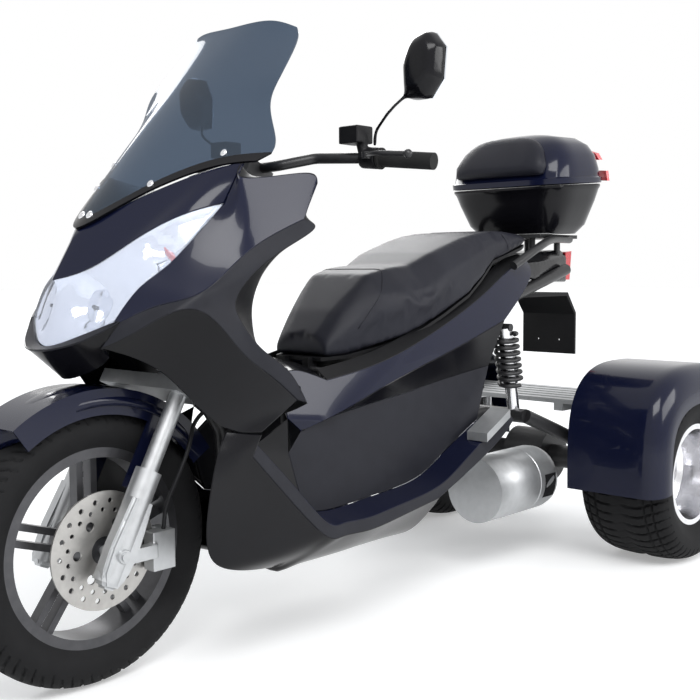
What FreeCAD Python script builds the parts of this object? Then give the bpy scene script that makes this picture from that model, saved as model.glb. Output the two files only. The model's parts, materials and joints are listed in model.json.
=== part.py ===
"""Motor trike: a scooter-bodied three-wheeler with one steered front wheel and two wide rear wheels.

Millimetres. X runs to the vehicle's left, Y to its rear and Z up. The origin lies on the ground,
midway between the axles, on the centre plane. Places along the body are written as distances behind
the front axle and go through along(), which keeps the nose with the front axle and the tail with the
rear axle, so that a longer wheelbase stretches only the stretch between them.
"""
import FreeCAD
import Part
import math
import os

V = FreeCAD.Vector
doc = FreeCAD.newDocument("MotorTrike")

# ---------------------------------------------------------------- driving sizes
SIZES = [
    ("wheelbase", 1533, "front axle to rear axle"),
    ("track_half", 389, "centre plane to the middle of a rear tyre"),
    ("rake", 28, "steering axis, degrees back from upright"),
    ("fork_offset", 30, "steering axis behind the fork legs"),
    ("front_tyre_radius", 262, ""),
    ("front_tyre_width", 100, ""),
    ("front_bead_radius", 178, "where the front tyre seats"),
    ("front_rim_width", 76, ""),
    ("rear_tyre_radius", 229.5, ""),
    ("rear_tyre_width", 240, ""),
    ("rear_bead_radius", 127, "where the rear tyres seat"),
    ("rear_rim_width", 200, ""),
    ("rim_flange", 11, "height of a rim flange over its bead seat"),
    ("axle_radius", 8, "front axle"),
    ("axle_clearance", 0.3, "hub bore over the axle"),
    ("front_hub_radius", 40, ""),
    ("front_hub_half", 58, "half length of the front hub"),
    ("disc_radius", 110, "front brake disc"),
    ("disc_thickness", 4, ""),
    ("leg_spacing", 100, "centre plane to a fork leg"),
    ("slider_radius", 25, "lower fork leg"),
    ("stanchion_radius", 16.5, "upper fork tube"),
    ("yoke_gap", 63, "front tyre to the fork yoke, along the steering axis"),
    ("stem_radius", 15, "steering stem"),
    ("head_wall", 9, "steering head tube"),
    ("bearing_clearance", 0.5, "steering head bore over the stem"),
    ("fender_gap", 31, "front tyre to the front fender"),
    ("fender_half", 62, "half width of the front fender"),
    ("skin_thickness", 3, "body panels"),
    ("screen_thickness", 4, "windscreen"),
    ("bar_radius", 11, "handlebar tube"),
    ("bar_half", 372, "half width of the handlebar"),
    ("grip_radius", 17, ""),
    ("grip_length", 122, ""),
    ("floor_pipe", 16, "frame tube radius"),
    ("engine_length", 280, ""),
    ("engine_width", 190, ""),
    ("engine_height", 220, ""),
    ("drum_radius", 84, "transmission drum"),
    ("axle_tube_radius", 32, "rear axle housing"),
    ("stub_radius", 14, "rear stub axle"),
    ("rear_fender_gap", 26, "rear tyre to its fender"),
    ("rear_fender_rise", 30, "extra height of the fender over the tyre's top"),
    ("box_wall", 3.5, "top box wall"),
    ("pan_thickness", 8, "seat pan"),
    ("plate_hole_radius", 3.2, "number plate screws"),
]
sheet = doc.addObject("Spreadsheet::Sheet", "Sizes")
for row, (alias, value, note) in enumerate(SIZES, 1):
    sheet.set(f"A{row}", alias.replace("_", " ") + (": " + note if note else ""))
    sheet.set(f"B{row}", str(value))
    sheet.setAlias(f"B{row}", alias)
doc.recompute()


def size(alias):
    return float(sheet.get(alias))


WHEELBASE = size("wheelbase")
FRONT_AXLE_Y = -WHEELBASE / 2
REAR_AXLE_Y = WHEELBASE / 2
NOSE_END = 450
TAIL_START = 1000
DRAWN_WHEELBASE = 1533
SKIN = size("skin_thickness")


def along(y):
    """Distance behind the front axle, as drawn, to a place on the part's Y axis."""
    stretch = WHEELBASE - DRAWN_WHEELBASE
    share = min(max((y - NOSE_END) / (TAIL_START - NOSE_END), 0), 1)
    return FRONT_AXLE_Y + y + stretch * share


def at(x, y, z):
    return V(x, along(y), z)


# ---------------------------------------------------------------- document objects
nodes = []


def keep(item, label):
    item.Label = label
    nodes.append(item)
    return item


def bind(item, **texts):
    """Bind properties of an object to the sheet; double underscores stand for dots."""
    for name, text in texts.items():
        item.setExpression(name.replace("__", "."), text)
    return item


def feature(label, shape):
    item = doc.addObject("Part::Feature", label)
    item.Shape = shape
    return keep(item, label)


# ---------------------------------------------------------------- shape helpers
def both(shape):
    """A shape and its mirror image across the centre plane."""
    return [shape, shape.mirror(V(0, 0, 0), V(1, 0, 0))]


def triangle(a, b, c):
    return Part.Face(Part.makePolygon([a, b, c, a]))


def closed_solid(faces):
    solid = Part.Solid(Part.Shell(faces))
    if solid.Volume < 0:
        solid.reverse()
    return solid


def rod(start, end, radius):
    direction = end - start
    return Part.makeCylinder(radius, direction.Length, start, direction)


def block(low, high):
    return Part.makeBox(high.x - low.x, high.y - low.y, high.z - low.z, low)


def pipe(points, radius, bend=None):
    """A round tube along straight runs joined by tangent arcs."""
    edges = []
    start = points[0]
    for before, corner, after in zip(points, points[1:], points[2:]):
        inward = (before - corner).normalize()
        outward = (after - corner).normalize()
        turn = math.pi - inward.getAngle(outward)
        shorter = min((before - corner).Length, (after - corner).Length)
        arc_radius = bend or 0.45 * shorter / math.tan(turn / 2)
        reach = min(arc_radius * math.tan(turn / 2), 0.45 * shorter)
        first = corner + inward * reach
        last = corner + outward * reach
        arc_radius = reach / math.tan(turn / 2)
        middle_way = (inward + outward).normalize()
        middle = corner + middle_way * (arc_radius / math.cos(turn / 2) - arc_radius)
        edges.append(Part.LineSegment(start, first).toShape())
        edges.append(Part.Arc(first, middle, last).toShape())
        start = last
    edges.append(Part.LineSegment(start, points[-1]).toShape())
    path = Part.Wire(edges)
    ring = Part.Wire(Part.Circle(points[0], points[1] - points[0], radius).toShape())
    return path.makePipeShell([ring], True, False)


def ring_about_x(profile, centre):
    """Turn a closed profile of (across, radius) points about an axle that lies along X."""
    points = [V(across, radius, 0) for across, radius in profile]
    face = Part.Face(Part.makePolygon(points + points[:1]))
    solid = face.revolve(V(0, 0, 0), V(1, 0, 0), 360)
    solid.translate(centre)
    return solid


def prism(outline, low, high):
    """A side-view outline of (y, z) points, given as drawn, made solid from X low to X high."""
    points = [at(low, y, z) for y, z in outline]
    return Part.Face(Part.makePolygon(points + points[:1])).extrude(V(high - low, 0, 0))


def lofted(stations):
    """A body through cross-sections of (y, half width, low, high), with chamfered top corners."""
    wires = []
    for y, half, low, high in stations:
        corner = min(half, high - low) * 0.35
        outline = [(-half, low), (half, low), (half, high - corner), (half - corner, high),
                   (corner - half, high), (-half, high - corner)]
        points = [at(x, y, z) for x, z in outline]
        wires.append(Part.makePolygon(points + points[:1]))
    return Part.makeLoft(wires, True, True)


# ---------------------------------------------------------------- panels
class Panels:
    """Thin body panels that share one net of named corners, so that neighbours meet face to face.

    Corners are given for the left half. A corner on the centre plane is shared by both halves.
    Each corner's inner point lies one thickness inwards along the net's own normal there.
    """

    def __init__(self, corners, inside):
        self.corners = {name: at(*point) for name, point in corners.items()}
        self.inside = at(*inside)
        self.panels = {}
        self.normals = {name: V(0, 0, 0) for name in corners}

    def add(self, label, thickness, faces):
        self.panels[label] = (thickness, [tuple(names) for names in faces])

    def face_normal(self, names):
        points = [self.corners[name] for name in names]
        normal = V(0, 0, 0)
        for first, second in zip(points, points[1:] + points[:1]):
            normal += first.cross(second)
        return normal

    def settle(self):
        """Turn every face to look outwards, from neighbour to neighbour, then average the normals."""
        faces = [[label, names] for label, (thickness, group) in self.panels.items() for names in group]
        waiting = list(range(len(faces)))
        while waiting:
            queue = [waiting.pop(0)]
            names = faces[queue[0]][1]
            middle = sum((self.corners[name] for name in names), V(0, 0, 0)) * (1 / len(names))
            if self.face_normal(names).dot(middle - V(0, self.inside.y, self.inside.z)) < 0:
                faces[queue[0]][1] = tuple(reversed(names))
            while queue:
                names = faces[queue.pop()][1]
                edges = set(zip(names, names[1:] + names[:1]))
                for index in list(waiting):
                    other = faces[index][1]
                    other_edges = set(zip(other, other[1:] + other[:1]))
                    same = edges & other_edges
                    opposite = edges & {(b, a) for a, b in other_edges}
                    if not same and not opposite:
                        continue
                    if same:
                        faces[index][1] = tuple(reversed(other))
                    waiting.remove(index)
                    queue.append(index)
        for label, (thickness, group) in self.panels.items():
            self.panels[label] = (thickness, [names for owner, names in faces if owner == label])
        for label, names in faces:
            normal = self.face_normal(names).normalize()
            for name in names:
                self.normals[name] += normal

    def inner(self, name, thickness):
        normal = V(self.normals[name])
        if self.corners[name].x == 0:
            normal.x = 0
        return self.corners[name] - normal.normalize() * thickness

    def shape(self, label):
        thickness, faces = self.panels[label]
        crosses = any(self.corners[name].x == 0 for names in faces for name in names)
        left = [[(name, 1) for name in names] for names in faces]
        right = [[(name, -1) for name in reversed(names)] for names in faces]
        if crosses:
            return self._solid(left + right, thickness)
        return Part.makeCompound([self._solid(left, thickness), self._solid(right, thickness)])

    def _solid(self, faces, thickness):
        def key(corner):
            name, side = corner
            return (name, 0) if self.corners[name].x == 0 else corner

        def place(corner, depth):
            name, side = corner
            point = self.corners[name] if depth == 0 else self.inner(name, depth)
            return V(point.x * side if side else 0, point.y, point.z)

        made = []
        edges = {}
        for face in faces:
            loop = [key(corner) for corner in face]
            for first, second in zip(loop, loop[1:] + loop[:1]):
                edges[(first, second)] = (first, second)
            for second, third in zip(loop[1:], loop[2:]):
                made.append(triangle(*[place(corner, 0) for corner in (loop[0], second, third)]))
                made.append(triangle(*[place(corner, thickness) for corner in (loop[0], third, second)]))
        for first, second in edges:
            if (second, first) in edges:
                continue
            a, b = place(first, 0), place(second, 0)
            c, d = place(second, thickness), place(first, thickness)
            # both neighbours split their shared edge strip along the same diagonal
            if first < second:
                made += [triangle(a, b, c), triangle(a, c, d)]
            else:
                made += [triangle(a, b, d), triangle(b, c, d)]
        return closed_solid(made)


FRONT_CORNERS = {
    # centre line, from the chin up to the foot of the windscreen
    "chin": (0, -33, 574), "beak": (0, -96, 632), "lens_foot": (0, -72, 638),
    "lens_top": (0, -54, 755), "screen_foot": (0, 0, 846),
    # headlamp outline
    "lens_low": (70, -50, 657), "lens_corner": (130, -16, 683), "lens_side": (152, 24, 742),
    "lens_back": (173, 82, 790), "lens_tip": (200, 180, 893),
    "brow_1": (55, -8, 778), "brow_2": (105, 52, 828), "brow_3": (160, 112, 870),
    # windscreen foot
    "foot_1": (75, 80, 902), "foot_2": (160, 178, 955), "foot_3": (215, 212, 966),
    # cowl side
    "cowl_front": (145, -12, 683), "cowl_1": (190, 40, 712), "cowl_2": (240, 100, 737),
    "cowl_3": (250, 197, 807), "cowl_4": (261, 325, 866), "cowl_5": (262, 338, 893),
    "wing_tip": (262, 361, 935), "wing_top": (255, 352, 954), "wing_2": (240, 283, 947),
    "wing_1": (224, 202, 940),
    # beak and chin
    "lip": (80, -66, 644), "chin_side": (80, 0, 606),
    # side fairing
    "fair_front": (122, -38, 637), "fair_top": (180, 4, 670), "fair_peak": (237, 82, 704),
    "fair_1": (245, 174, 628), "fair_2": (248, 245, 577), "fair_back": (252, 313, 524),
    "fair_foot": (235, 235, 470), "arch_4": (200, 175, 481), "arch_3": (168, 122, 535),
    "arch_2": (152, 67, 590), "arch_1": (138, 5, 622),
    # edge of the leg shield
    "edge_1": (262, 352, 848), "edge_2": (256, 275, 808), "edge_3": (250, 203, 762),
    "edge_4": (243, 168, 715), "edge_5": (247, 182, 673), "edge_6": (252, 225, 625),
    "edge_7": (254, 290, 580), "edge_8": (256, 335, 516),
    # leg shield, behind
    "shield_t": (200, 385, 925), "shield_1": (120, 405, 885), "shield_2": (120, 350, 770),
    "shield_3": (120, 318, 685), "shield_4": (120, 335, 592), "shield_5": (135, 365, 480),
    "mid_t": (0, 446, 905), "mid_1": (0, 440, 885), "mid_2": (0, 390, 775), "mid_3": (0, 356, 690),
    "mid_4": (0, 372, 604), "mid_5": (0, 385, 480),
    "dash_1": (160, 290, 938), "dash_0": (0, 250, 925),
}
front = Panels(FRONT_CORNERS, (0, 180, 760))
front.add("headlamp_lens", SKIN, [
    ("lens_foot", "lens_low", "brow_1", "lens_top"), ("lens_low", "lens_corner", "lens_side", "brow_1"),
    ("brow_1", "lens_side", "lens_back", "brow_2"), ("brow_2", "lens_back", "brow_3"),
    ("lens_back", "lens_tip", "brow_3")])
front.add("visor", SKIN, [
    ("lens_top", "brow_1", "foot_1", "screen_foot"), ("brow_1", "brow_2", "foot_2", "foot_1"),
    ("brow_2", "brow_3", "foot_2"), ("brow_3", "lens_tip", "foot_3", "foot_2")])
front.add("front_cowl", SKIN, [
    ("lens_corner", "cowl_front", "cowl_1", "lens_side"), ("lens_side", "cowl_1", "cowl_2", "lens_back"),
    ("lens_back", "cowl_2", "cowl_3", "lens_tip"), ("lens_tip", "cowl_3", "wing_1", "foot_3"),
    ("cowl_3", "cowl_4", "wing_2", "wing_1"), ("cowl_4", "cowl_5", "wing_top", "wing_2"),
    ("cowl_5", "wing_tip", "wing_top"),
    ("beak", "lip", "lens_low", "lens_foot"), ("lip", "cowl_front", "lens_corner", "lens_low"),
    ("chin", "chin_side", "lip", "beak"), ("chin_side", "fair_front", "cowl_front", "lip")])
front.add("side_fairings", SKIN, [
    ("cowl_front", "cowl_1", "fair_top", "fair_front"), ("cowl_1", "cowl_2", "fair_peak", "fair_top"),
    ("fair_front", "fair_top", "arch_1"), ("fair_top", "fair_peak", "arch_2", "arch_1"),
    ("fair_peak", "fair_1", "arch_3", "arch_2"), ("fair_1", "fair_2", "arch_4", "arch_3"),
    ("fair_2", "fair_back", "fair_foot", "arch_4")])
front.add("leg_shield", SKIN, [
    ("cowl_4", "cowl_3", "edge_2", "edge_1"), ("cowl_3", "cowl_2", "edge_3", "edge_2"),
    ("cowl_2", "fair_peak", "edge_4", "edge_3"), ("fair_peak", "fair_1", "edge_5", "edge_4"),
    ("fair_1", "fair_2", "edge_6", "edge_5"), ("fair_2", "fair_back", "edge_7", "edge_6"),
    ("fair_back", "edge_8", "edge_7"),
    ("wing_tip", "cowl_5", "shield_1", "shield_t"), ("cowl_5", "cowl_4", "edge_1", "shield_1"),
    ("edge_1", "edge_2", "shield_2", "shield_1"), ("edge_2", "edge_3", "shield_2"),
    ("edge_3", "edge_4", "shield_3", "shield_2"), ("edge_4", "edge_5", "shield_3"),
    ("edge_5", "edge_6", "shield_4", "shield_3"), ("edge_6", "edge_7", "shield_4"),
    ("edge_7", "edge_8", "shield_5", "shield_4"),
    ("shield_t", "shield_1", "mid_1", "mid_t"), ("shield_1", "shield_2", "mid_2", "mid_1"),
    ("shield_2", "shield_3", "mid_3", "mid_2"), ("shield_3", "shield_4", "mid_4", "mid_3"),
    ("shield_4", "shield_5", "mid_5", "mid_4")])
front.add("instrument_panel", SKIN, [
    ("foot_3", "wing_1", "wing_2", "dash_1"), ("wing_2", "wing_top", "shield_t", "dash_1"),
    ("wing_top", "wing_tip", "shield_t"), ("foot_2", "foot_3", "dash_1"),
    ("foot_1", "foot_2", "dash_1", "dash_0"), ("screen_foot", "foot_1", "dash_0"),
    ("dash_0", "dash_1", "shield_t", "mid_t")])

front.settle()

SCREEN_CORNERS = {
    "a0": (0, -3.4, 849.4), "a1": (76.5, 75.8, 905.6), "a2": (162.5, 173.6, 958.4), "a3": (250, 236, 972),
    "b0": (0, 100, 958), "b1": (75, 135, 975), "b2": (160, 205, 990), "b3": (250, 264, 996),
    "c0": (0, 195, 1064), "c1": (70, 215, 1070), "c2": (140, 258, 1078), "c3": (200, 297, 1081),
    "d0": (0, 262, 1138), "d1": (70, 276, 1140), "d2": (140, 302, 1140), "d3": (200, 324, 1140),
    "e0": (0, 372, 1266), "e1": (60, 374, 1269), "e2": (118, 386, 1268), "e3": (172, 404, 1243),
}
screen = Panels(SCREEN_CORNERS, (0, 900, 700))
screen.add("windscreen", size("screen_thickness"), [
    (low + str(i), low + str(i + 1), high + str(i + 1), high + str(i))
    for low, high in ("ab", "bc", "cd", "de") for i in range(3)])

screen.settle()

LOWER_CORNERS = {
    "top_in": (200, 178, 474), "top_out": (234, 236, 464),
    "wing_1": (206, 150, 430), "wing_2": (206, 128, 340), "wing_3": (202, 135, 245),
    "wing_4": (196, 215, 203), "keel_1": (165, 327, 182), "keel_2": (150, 381, 166),
    "keel_3": (150, 567, 167), "keel_4": (150, 740, 166),
    "low_1": (0, 330, 184), "low_2": (0, 381, 168), "low_3": (0, 567, 168), "low_4": (0, 740, 167),
    "wall_1": (154, 306, 330), "wall_2": (150, 300, 440), "wall_3": (0, 312, 330), "wall_4": (0, 306, 440),
    "sill_1": (226, 220, 424), "sill_2": (238, 300, 335), "sill_3": (248, 391, 246),
    "sill_4": (250, 446, 236), "sill_5": (250, 520, 233), "sill_6": (250, 617, 243),
    "sill_7": (250, 756, 262), "sill_8": (250, 869, 307), "sill_9": (245, 996, 361),
    "sill_10": (240, 1062, 402),
    "rim_1": (224, 232, 446), "rim_2": (234, 316, 358), "rim_3": (242, 402, 270),
    "rim_4": (243, 450, 260), "rim_5": (243, 520, 257), "rim_6": (243, 617, 266),
    "rim_7": (243, 756, 285), "rim_8": (243, 860, 331), "rim_9": (238, 985, 392),
    "rim_10": (232, 1045, 430),
    "floor_1": (165, 262, 425), "floor_2": (160, 345, 345), "floor_3": (160, 418, 278),
    "floor_4": (160, 470, 268), "floor_5": (160, 540, 268), "floor_6": (160, 640, 275),
    "floor_7": (160, 780, 290), "floor_8": (166, 880, 340), "floor_9": (176, 1000, 405),
    "cover_0": (158, 378, 402), "cover_2": (150, 422, 440), "cover_3": (150, 512, 462),
    "cover_4": (155, 735, 488), "cover_5": (160, 865, 507), "cover_6": (165, 1062, 530),
    "cover_7": (168, 1040, 486),
    "crease_1": (165, 475, 458), "crease_2": (168, 553, 480), "crease_3": (170, 717, 530),
    "crease_4": (168, 906, 577), "crease_5": (160, 1139, 640), "crease_6": (135, 1290, 740),
    "rail_1": (150, 499, 540), "rail_2": (165, 651, 566), "rail_3": (165, 827, 618),
    "rail_4": (150, 1044, 698), "rail_5": (135, 1196, 768), "rail_6": (118, 1300, 790),
    "front_top": (128, 402, 562), "front_low": (150, 384, 470),
    "ridge_0": (0, 373, 602.5), "ridge_1": (0, 490, 577), "ridge_2": (0, 528, 567),
    "side_top": (119.5, 336.5, 590.5),
}
lower = Panels(LOWER_CORNERS, (0, 640, 400))
lower.add("belly_pan", SKIN, [
    ("top_in", "wing_1", "sill_1", "top_out"), ("wing_1", "wing_2", "sill_2", "sill_1"),
    ("wing_2", "wing_3", "sill_3", "sill_2"), ("wing_3", "wing_4", "sill_3"),
    ("wing_4", "keel_1", "sill_3"), ("keel_1", "keel_2", "sill_4", "sill_3"),
    ("keel_2", "keel_3", "sill_5", "sill_4"), ("keel_3", "sill_6", "sill_5"),
    ("keel_3", "keel_4", "sill_7", "sill_6"),
    ("keel_1", "keel_2", "low_2", "low_1"), ("keel_2", "keel_3", "low_3", "low_2"),
    ("keel_3", "keel_4", "low_4", "low_3"),
    ("keel_1", "wall_1", "wall_3", "low_1"), ("wall_1", "wall_2", "wall_4", "wall_3")])
lower.add("floorboards", SKIN, [
    (f"sill_{i}", f"sill_{i + 1}", f"rim_{i + 1}", f"rim_{i}") for i in range(1, 10)] + [
    (f"rim_{i}", f"rim_{i + 1}", f"floor_{i + 1}", f"floor_{i}") for i in range(1, 9)] + [
    ("rim_9", "rim_10", "floor_9")])
lower.add("side_covers", SKIN, [
    ("cover_0", "floor_3", "cover_2"), ("floor_3", "floor_4", "cover_3", "cover_2"),
    ("floor_4", "floor_5", "cover_3"), ("floor_5", "floor_6", "cover_4", "cover_3"),
    ("floor_6", "floor_7", "cover_5", "cover_4"), ("floor_7", "floor_8", "cover_6", "cover_5"),
    ("floor_8", "floor_9", "cover_7", "cover_6")])
lower.add("tail_panels", SKIN, [
    ("front_top", "front_low", "crease_1", "rail_1"), ("front_low", "cover_2", "crease_1"),
    ("rail_1", "crease_1", "crease_2", "rail_2"), ("rail_2", "crease_2", "crease_3", "rail_3"),
    ("rail_3", "crease_3", "crease_4"), ("rail_3", "crease_4", "crease_5", "rail_4"),
    ("rail_4", "crease_5", "crease_6", "rail_5"), ("rail_5", "crease_6", "rail_6"),
    ("crease_1", "cover_2", "cover_3", "crease_2"), ("crease_2", "cover_3", "cover_4", "crease_3"),
    ("crease_3", "cover_4", "cover_5", "crease_4"), ("crease_4", "cover_5", "cover_6", "crease_5")])
lower.add("tunnel", SKIN, [
    ("ridge_0", "side_top", "front_top"), ("ridge_0", "front_top", "ridge_1"),
    ("ridge_1", "front_top", "rail_1"), ("ridge_1", "rail_1", "ridge_2"),
    ("side_top", "front_low", "front_top")])

lower.settle()

# ---------------------------------------------------------------- steering frame of reference
RAKE = math.radians(size("rake"))
FRONT_RADIUS = size("front_tyre_radius")
FRONT_AXLE = V(0, FRONT_AXLE_Y, FRONT_RADIUS)
UP_AXIS = V(0, math.sin(RAKE), math.cos(RAKE))
BACK_AXIS = V(0, math.cos(RAKE), -math.sin(RAKE))
OFFSET = size("fork_offset")
YOKE = FRONT_RADIUS + size("yoke_gap")


def steer(x, back, up):
    """A point given across, behind the fork legs, and up along the steering axis."""
    return FRONT_AXLE + V(x, 0, 0) + BACK_AXIS * back + UP_AXIS * up


def steer_block(low, high):
    """A block drawn upright at the front axle, then leant back by the rake."""
    moved = block(V(*low), V(*high))
    moved.rotate(V(0, 0, 0), V(1, 0, 0), -size("rake"))
    moved.translate(FRONT_AXLE)
    return moved


STEM = size("stem_radius")
HEAD_LOW = YOKE + 40
HEAD_HIGH = HEAD_LOW + 190
STEM_TOP = 812
SPACING = size("leg_spacing")
SLIDER = size("slider_radius")
STANCHION = size("stanchion_radius")

# ---------------------------------------------------------------- front wheel
BEAD = size("front_bead_radius")
FLANGE = size("rim_flange")
HALF_TYRE = size("front_tyre_width") / 2
HALF_RIM = size("front_rim_width") / 2


def tyre_profile(radius, half, bead, seat, crown):
    """Half the tyre's section, mirrored: bead, sidewall, shoulder, crown."""
    wall = radius - bead
    right = [(seat, bead), (seat, bead + wall * 0.2), (half, bead + wall * 0.45),
             (half, bead + wall * 0.68), (half - wall * 0.18, radius - crown), (half * 0.3, radius)]
    return right + [(-x, r) for x, r in reversed(right)]


def wheel_body(label, profile, axle_y, axle_z, across="0"):
    """A PartDesign body: a profile turned about the axle, which lies along X."""
    item = doc.addObject("PartDesign::Body", label)
    outline = item.newObject("Sketcher::SketchObject", label + "_profile")
    plane = next(f for f in item.Origin.OriginFeatures if f.Role == "XY_Plane")
    outline.AttachmentSupport = [(plane, "")]
    outline.MapMode = "FlatFace"
    for (x0, r0), (x1, r1) in zip(profile, profile[1:] + profile[:1]):
        outline.addGeometry(Part.LineSegment(V(x0, r0, 0), V(x1, r1, 0)))
    turned = item.newObject("PartDesign::Revolution", label + "_turned")
    turned.Profile = outline
    turned.ReferenceAxis = (outline, ["H_Axis"])
    turned.Angle = 360
    item.Tip = turned
    bind(item, Placement__Base__x=across, Placement__Base__y=axle_y, Placement__Base__z=axle_z)
    return keep(item, label)


FRONT_Y = "-Sizes.wheelbase / 2"
REAR_Y = "Sizes.wheelbase / 2"
wheel_body("front_tyre", tyre_profile(FRONT_RADIUS, HALF_TYRE, BEAD, HALF_RIM - 5, 12),
           FRONT_Y, "Sizes.front_tyre_radius")


def front_rim():
    hub_half = size("front_hub_half")
    hub_radius = size("front_hub_radius")
    bore = size("axle_radius") + size("axle_clearance")
    barrel = ring_about_x([(-HALF_RIM, BEAD + FLANGE), (5 - HALF_RIM, BEAD + FLANGE), (5 - HALF_RIM, BEAD),
                           (HALF_RIM - 5, BEAD), (HALF_RIM - 5, BEAD + FLANGE), (HALF_RIM, BEAD + FLANGE),
                           (HALF_RIM, BEAD - 10), (-HALF_RIM, BEAD - 10)], V(0, 0, 0))
    hub = ring_about_x([(-hub_half, bore), (hub_half, bore), (hub_half, hub_radius), (-hub_half, hub_radius)],
                       V(0, 0, 0))
    spokes = []
    for turn in range(5):
        for side in (-1, 1):
            spoke = Part.makeBox(24, 13, BEAD - 8 - (hub_radius - 4), V(-12, side * 15 - 6.5, hub_radius - 4))
            spoke.rotate(V(0, 0, 0), V(1, 0, 0), 72 * turn)
            spokes.append(spoke)
    shape = barrel.fuse([hub] + spokes)
    shape.translate(FRONT_AXLE)
    return shape


feature("front_rim", front_rim())
DISC_IN = size("front_hub_half")
DISC_OUT = DISC_IN + size("disc_thickness")


def front_disc():
    disc = ring_about_x([(DISC_IN, 26), (DISC_OUT, 26), (DISC_OUT, size("disc_radius")),
                         (DISC_IN, size("disc_radius"))], V(0, 0, 0))
    holes = []
    for ring_radius, hole_radius, count, phase in ((92, 5, 18, 0), (76, 4.5, 18, 10), (56, 9, 6, 0)):
        for i in range(count):
            angle = math.radians(360 * i / count + phase)
            centre = V(DISC_IN - 1, ring_radius * math.cos(angle), ring_radius * math.sin(angle))
            holes.append(Part.makeCylinder(hole_radius, DISC_OUT - DISC_IN + 2, centre, V(1, 0, 0)))
    disc = disc.cut(holes)
    disc.translate(FRONT_AXLE)
    return disc


feature("front_brake_disc", front_disc())

# ---------------------------------------------------------------- fork, stem and handlebar


def fork():
    parts = []
    for side in (-1, 1):
        x = side * SPACING
        parts.append(rod(steer(x, 0, -52), steer(x, 0, 160), SLIDER))
        parts.append(rod(steer(x, 0, 150), steer(x, 0, YOKE + 14), STANCHION))
    parts.append(steer_block((-SPACING - 24, -26, YOKE - 12), (SPACING + 24, OFFSET + 26, YOKE + 16)))
    parts.append(rod(steer(0, OFFSET, YOKE), steer(0, OFFSET, STEM_TOP), STEM))
    inner = SPACING - SLIDER + 4
    parts.append(rod(FRONT_AXLE - V(SPACING + 32, 0, 0), FRONT_AXLE + V(SPACING + 32, 0, 0), size("axle_radius")))
    for side in (-1, 1):
        start = DISC_OUT + 6 if side > 0 else DISC_IN + 6
        parts.append(rod(FRONT_AXLE + V(side * start, 0, 0), FRONT_AXLE + V(side * (inner + 8), 0, 0), 13))
    return parts[0].fuse(parts[1:]).removeSplitter()


feature("fork", fork())

BAR = size("bar_radius")
HALF_BAR = size("bar_half")
BAR_POINTS = [(HALF_BAR, 573, 983), (236, 549, 997), (120, 500, 1001), (62, 436, 984),
              (-62, 436, 984), (-120, 500, 1001), (-236, 549, 997), (-HALF_BAR, 573, 983)]


def bar_shape(radius):
    return pipe([at(*point) for point in BAR_POINTS], radius, 40)


def handlebar():
    clamp = steer_block((-30, OFFSET - 22, STEM_TOP), (30, OFFSET + 46, STEM_TOP + 34))
    return bar_shape(BAR).fuse(clamp).removeSplitter()


bar = handlebar()
feature("handlebar", bar)
GRIP_END = at(*BAR_POINTS[0])
GRIP_WAY = (at(*BAR_POINTS[0]) - at(*BAR_POINTS[1])).normalize()


def grips():
    start = GRIP_END - GRIP_WAY * size("grip_length")
    sleeve = rod(start, GRIP_END + GRIP_WAY * 3, size("grip_radius"))
    sleeve = sleeve.fuse(rod(start, start + GRIP_WAY * 5, size("grip_radius") + 5))
    bore = rod(start - GRIP_WAY, GRIP_END + GRIP_WAY * 0.3, BAR + 0.3)
    return Part.makeCompound(both(sleeve.cut(bore)))


feature("grips", grips())


def bar_point(distance, dx=0, dy=0, dz=0):
    """A point on the outer run of the handlebar, so far in from its end, with an offset."""
    return GRIP_END - GRIP_WAY * distance + V(dx, dy, dz)


def controls():
    """Switch housing and brake reservoir beside each grip."""
    inner = size("grip_length") + 3
    housing = rod(bar_point(inner), bar_point(inner + 38), 22)
    reservoir = block(bar_point(inner + 48, -26, -34, 26), bar_point(inner + 48, 26, 16, 62))
    neck = rod(bar_point(inner + 30, 0, -8, 8), bar_point(inner + 34, 0, -10, 30), 11)
    shape = housing.fuse([reservoir, neck])
    return Part.makeCompound(both(shape.cut(bar_shape(BAR + 0.3))))


feature("control_housings", controls())


def levers():
    inner = size("grip_length") + 10
    pivot = bar_point(inner, 0, -30, 4)
    blade = pipe([pivot, bar_point(inner - 40, 0, -62, 8), bar_point(14, 0, -58, 10)], 5)
    ball = Part.makeSphere(9, bar_point(14, 0, -58, 10))
    boss = rod(pivot + V(0, 0, -7), pivot + V(0, 0, 7), 9)
    arm = rod(bar_point(inner, 0, -23, 3), pivot, 6)
    housing_room = rod(bar_point(inner - 20), bar_point(inner + 60), 22.3)
    return Part.makeCompound(both(blade.fuse([ball, boss, arm]).cut(housing_room)))


feature("brake_levers", levers())


def mirrors():
    """Stalk and shell; the glass lies in the shell's rear face."""
    root = bar_point(size("grip_length") + 12, 0, 0, 22.2)
    stalk = pipe([root, root + V(0, 0, 30), at(292, 535, 1085), at(312, 556, 1112)], 6)
    outline = [(310, 1106), (306, 1180), (330, 1228), (372, 1238), (398, 1206), (392, 1140), (362, 1104)]
    wires = []
    for y, inset in ((540, 22), (556, 4), (590, 0)):
        middle_x = sum(x for x, z in outline) / len(outline)
        middle_z = sum(z for x, z in outline) / len(outline)
        shrink = 1 - inset / 60
        points = [at(middle_x + (x - middle_x) * shrink, y, middle_z + (z - middle_z) * shrink)
                  for x, z in outline]
        wires.append(Part.makePolygon(points + points[:1]))
    shell = Part.makeLoft(wires, True, True)
    return stalk, shell, wires[-1]


stalk, mirror_shell, mirror_rim = mirrors()
glass_pocket = Part.Face(mirror_rim).extrude(V(0, -4, 0))
glass_pocket.scale(0.94, glass_pocket.CenterOfMass)
feature("mirrors", Part.makeCompound(both(mirror_shell.cut(glass_pocket).fuse(stalk))))
feature("mirror_glasses", Part.makeCompound(both(glass_pocket)))


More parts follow.
